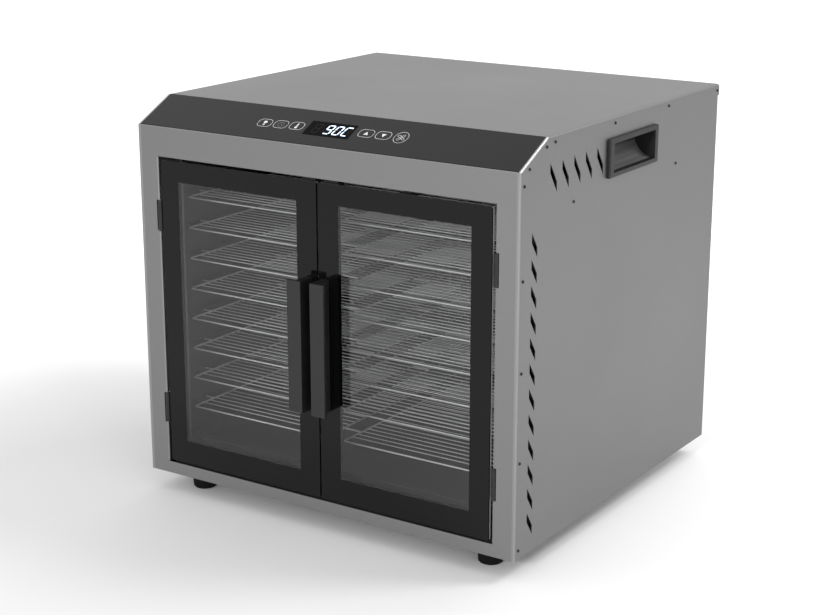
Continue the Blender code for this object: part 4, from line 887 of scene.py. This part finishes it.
def make_casing_hems():
    """A rounded fold along each side's front edge and up the slope beside the panel."""
    slope_out = Vector((0.0, -math.sin(SLOPE_ANGLE), math.cos(SLOPE_ANGLE)))
    front_out = Vector((0.0, -1.0, 0.0))
    along = Vector((0.0, math.cos(SLOPE_ANGLE), math.sin(SLOPE_ANGLE))) / math.tan(SLOPE_ANGLE)
    miter = (slope_out + front_out).normalized()
    miter /= miter.dot(front_out)
    foot_height = CASING_HIGH.z - SLOPE_DROP
    for word, side in (("left", -1.0), ("right", 1.0)):
        aside = Vector((side, 0.0, 0.0))
        path = (
            (Vector((side * HALF_WIDTH, FRONT, CASING_LOW.z)), front_out),
            (Vector((side * HALF_WIDTH, FRONT, foot_height)), miter),
            (Vector((side * HALF_WIDTH, FRONT + SLOPE_RUN, CASING_HIGH.z)) - along * HEM_PROUD, slope_out),
        )
        centre = HEM_PROUD - HEM_ROUNDING
        section = [(-HEM_SUNK, -HEM_SIDE_RUNOUT - HEM_ROUNDING), (0.0, -HEM_SIDE_RUNOUT - HEM_ROUNDING)]
        for i in range(HEM_STEPS + 1):
            turn = math.pi / 2 * i / HEM_STEPS
            section.append((centre + HEM_ROUNDING * math.cos(turn), centre + HEM_ROUNDING * math.sin(turn)))
        section += [(-HEM_RUNOUT, 0.0), (-HEM_RUNOUT, -HEM_SUNK), (-HEM_SUNK, -HEM_SUNK)]
        stretches = (
            ("casing_hem", HIGHLIT_EDGE_STEEL, HEM_RUNOUT, path[:2]),
            ("slope_hem", HIGHLIT_SLOPE_STEEL, SLOPE_RUNOUT, path[1:]),
        )
        count = len(section)
        for name, material, runout, ends in stretches:
            shape = bmesh.new()
            rings = []
            for foot, out in ends:
                ring = [foot + aside * max(a, -runout) + out * b for a, b in section]
                rings.append([shape.verts.new(point) for point in ring])
            near, far = rings
            for k in range(count):
                m = (k + 1) % count
                shape.faces.new((near[k], near[m], far[m], far[k]))
            shape.faces.new(near)
            shape.faces.new(far)
            new_piece(f"{word}_{name}", shape, material, "cabinet", 40)


def make_frame_top_bead():
    """The rolled upper edge of the front frame, just under the panel."""
    level = CASING_HIGH.z - SLOPE_DROP + TOP_BEAD_RISE - TOP_BEAD
    reach = HALF_WIDTH - HEM_RUNOUT
    shape = bmesh.new()
    depth = FRONT + TOP_BEAD - BEAD_PROUD
    tube(shape, [Vector((-reach, depth, level)), Vector((reach, depth, level))], TOP_BEAD, 12)
    new_piece("frame_top_bead", shape, HIGHLIT_EDGE_STEEL, "cabinet", 50)


def make_opening_beads():
    """The rolled edge on each side of the door opening, broken off at the hinges."""
    for word, side in (("left", -1.0), ("right", 1.0)):
        low_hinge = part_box(f"{word}_lower_frame_leaf")
        high_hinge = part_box(f"{word}_upper_frame_leaf")
        edge = abs(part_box(f"{word}_lower_hinge_pin")[0].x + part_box(f"{word}_lower_hinge_pin")[1].x) / 2
        spans = (
            (DOOR_BOTTOM - BEAD_BELOW_DOOR, low_hinge[0].z - HINGE_SPACE),
            (low_hinge[1].z + HINGE_SPACE, high_hinge[0].z - HINGE_SPACE),
            (high_hinge[1].z + HINGE_SPACE, DOOR_TOP + BEAD_ABOVE_DOOR),
        )
        section = [(edge + BEAD_ROUNDING / 2, FRONT + BEAD_ROUNDING)]
        for i in range(HEM_STEPS + 1):
            turn = math.pi / 2 * i / HEM_STEPS
            across = edge + BEAD_ROUNDING / 2 - BEAD_ROUNDING * math.cos(turn)
            section.append((across, FRONT - BEAD_PROUD + BEAD_ROUNDING * (1.0 - math.sin(turn))))
        shape = bmesh.new()
        for low, high in spans:
            rings = [[shape.verts.new((side * x, y, z)) for x, y in section] for z in (low, high)]
            count = len(section)
            for k in range(count):
                m = (k + 1) % count
                shape.faces.new((rings[0][k], rings[0][m], rings[1][m], rings[1][k]))
            shape.faces.new(rings[0])
            shape.faces.new(rings[1])
        new_piece(f"{word}_opening_bead", shape, HIGHLIT_EDGE_STEEL, "cabinet", 40)


# ---------------------------------------------------------------- studio

# Floor: its reach, its paper seen directly and in bounced light, and the painted glow that brightens it away
# from the object
FLOOR_REACH = 30.0
FLOOR_SEEN = ((0.73, 0.73, 0.73), (0.75, 0.75, 0.75))
FLOOR_BOUNCED = ((0.84, 0.84, 0.84), (0.86, 0.86, 0.86))
GLOW_CENTRE = (-0.12, -0.28)
GLOW_RANGE = (0.3, 1.3)
GLOW_LEVEL = 0.5

# Sky: where it fades toward the right, and from which strength to which
SKY_FADE_PLACE = (0.2, 0.9)
SKY_FADE_STRENGTH = (1.0, 0.85)

# Lights: name, place, target, size in metres, power in watts
LIGHTS = (
    ("key", (0.55, -3.2, 1.35), (0.0, 0.0, 0.2), 0.35, 40.0),
    ("rim", (2.6, -1.75, 0.9), (0.1, 0.0, 0.2), 0.6, 13.0),
    ("back_top", (1.75, 0.95, 2.3), (0.0, 0.0, 0.2), 0.9, 32.0),
)


def make_floor():
    shape = bmesh.new()
    bmesh.ops.create_grid(shape, x_segments=1, y_segments=1, size=FLOOR_REACH)
    mesh = bpy.data.meshes.new("studio_floor")
    shape.to_mesh(mesh)
    shape.free()
    floor = bpy.data.objects.new("studio_floor", mesh)
    n = Nodes("floor_paper")
    paper = n.noise(3.0, 3.0)
    seen = n.add("ShaderNodeLightPath").outputs["Is Camera Ray"]
    direct = n.colours(n.spread(paper, 0.0, 1.0), *FLOOR_SEEN)
    bounced = n.colours(n.spread(paper, 0.0, 1.0), *FLOOR_BOUNCED)
    n.link(n.blend(seen, bounced, direct), n.shader.inputs["Base Color"])
    place = n.add("ShaderNodeSeparateXYZ")
    n.link(n.place, place.inputs[0])
    aside = n.math("POWER", n.math("ABSOLUTE", n.math("SUBTRACT", place.outputs["X"], GLOW_CENTRE[0])), 2.0)
    away = n.math("POWER", n.math("ABSOLUTE", n.math("SUBTRACT", place.outputs["Y"], GLOW_CENTRE[1])), 2.0)
    distance = n.math("SQRT", n.math("ADD", aside, away))
    n.shader.inputs["Emission Color"].default_value = (1.0, 1.0, 1.0, 1.0)
    # Painted light: the floor seen by the camera glows more with distance from a spot just in front of the
    # object
    glow = n.math("MULTIPLY", n.spread(distance, 0.0, GLOW_LEVEL, *GLOW_RANGE), seen)
    n.link(glow, n.shader.inputs["Emission Strength"])
    n.shader.inputs["Roughness"].default_value = 0.8
    n.shader.inputs["Specular IOR Level"].default_value = 0.1
    floor.data.materials.append(n.material)
    bpy.context.scene.collection.objects.link(floor)


def add_light(name, place, target, size, power):
    data = bpy.data.lights.new(name, "AREA")
    data.shape = "DISK"
    data.size = size
    data.energy = power
    lamp = bpy.data.objects.new(name, data)
    lamp.location = place
    lamp.rotation_euler = (Vector(target) - Vector(place)).to_track_quat("-Z", "Y").to_euler()
    bpy.context.scene.collection.objects.link(lamp)


def make_studio():
    make_floor()
    world = bpy.data.worlds.new("studio")
    world.use_nodes = True
    sky = world.node_tree.nodes["Background"]
    sky.inputs["Color"].default_value = (1.0, 1.0, 1.0, 1.0)
    direction = world.node_tree.nodes.new("ShaderNodeTexCoord")
    parts = world.node_tree.nodes.new("ShaderNodeSeparateXYZ")
    fade = world.node_tree.nodes.new("ShaderNodeMapRange")
    fade.inputs["From Min"].default_value = SKY_FADE_PLACE[0]
    fade.inputs["From Max"].default_value = SKY_FADE_PLACE[1]
    fade.inputs["To Min"].default_value = SKY_FADE_STRENGTH[0]
    fade.inputs["To Max"].default_value = SKY_FADE_STRENGTH[1]
    world.node_tree.links.new(direction.outputs["Generated"], parts.inputs[0])
    world.node_tree.links.new(parts.outputs["X"], fade.inputs["Value"])
    world.node_tree.links.new(fade.outputs["Result"], sky.inputs["Strength"])
    bpy.context.scene.world = world
    for light in LIGHTS:
        add_light(*light)
    data = bpy.data.cameras.new("camera")
    data.lens = CAMERA_LENS_MM
    data.sensor_width = SENSOR_MM
    camera = bpy.data.objects.new("camera", data)
    camera.location = CAMERA_PLACE
    camera.rotation_euler = (math.radians(90.0 - CAMERA_ELEVATION), 0.0, math.radians(CAMERA_AZIMUTH))
    bpy.context.scene.collection.objects.link(camera)
    bpy.context.scene.camera = camera
    bpy.context.scene.view_settings.view_transform = "Standard"


make_studio()
finish_cad_nodes()
for tray_number in range(1, TRAY_COUNT + 1):
    make_wire_tray(tray_number)
make_touch_prints()
make_display()
make_screws()
make_casing_hems()
make_opening_beads()
make_frame_top_bead()
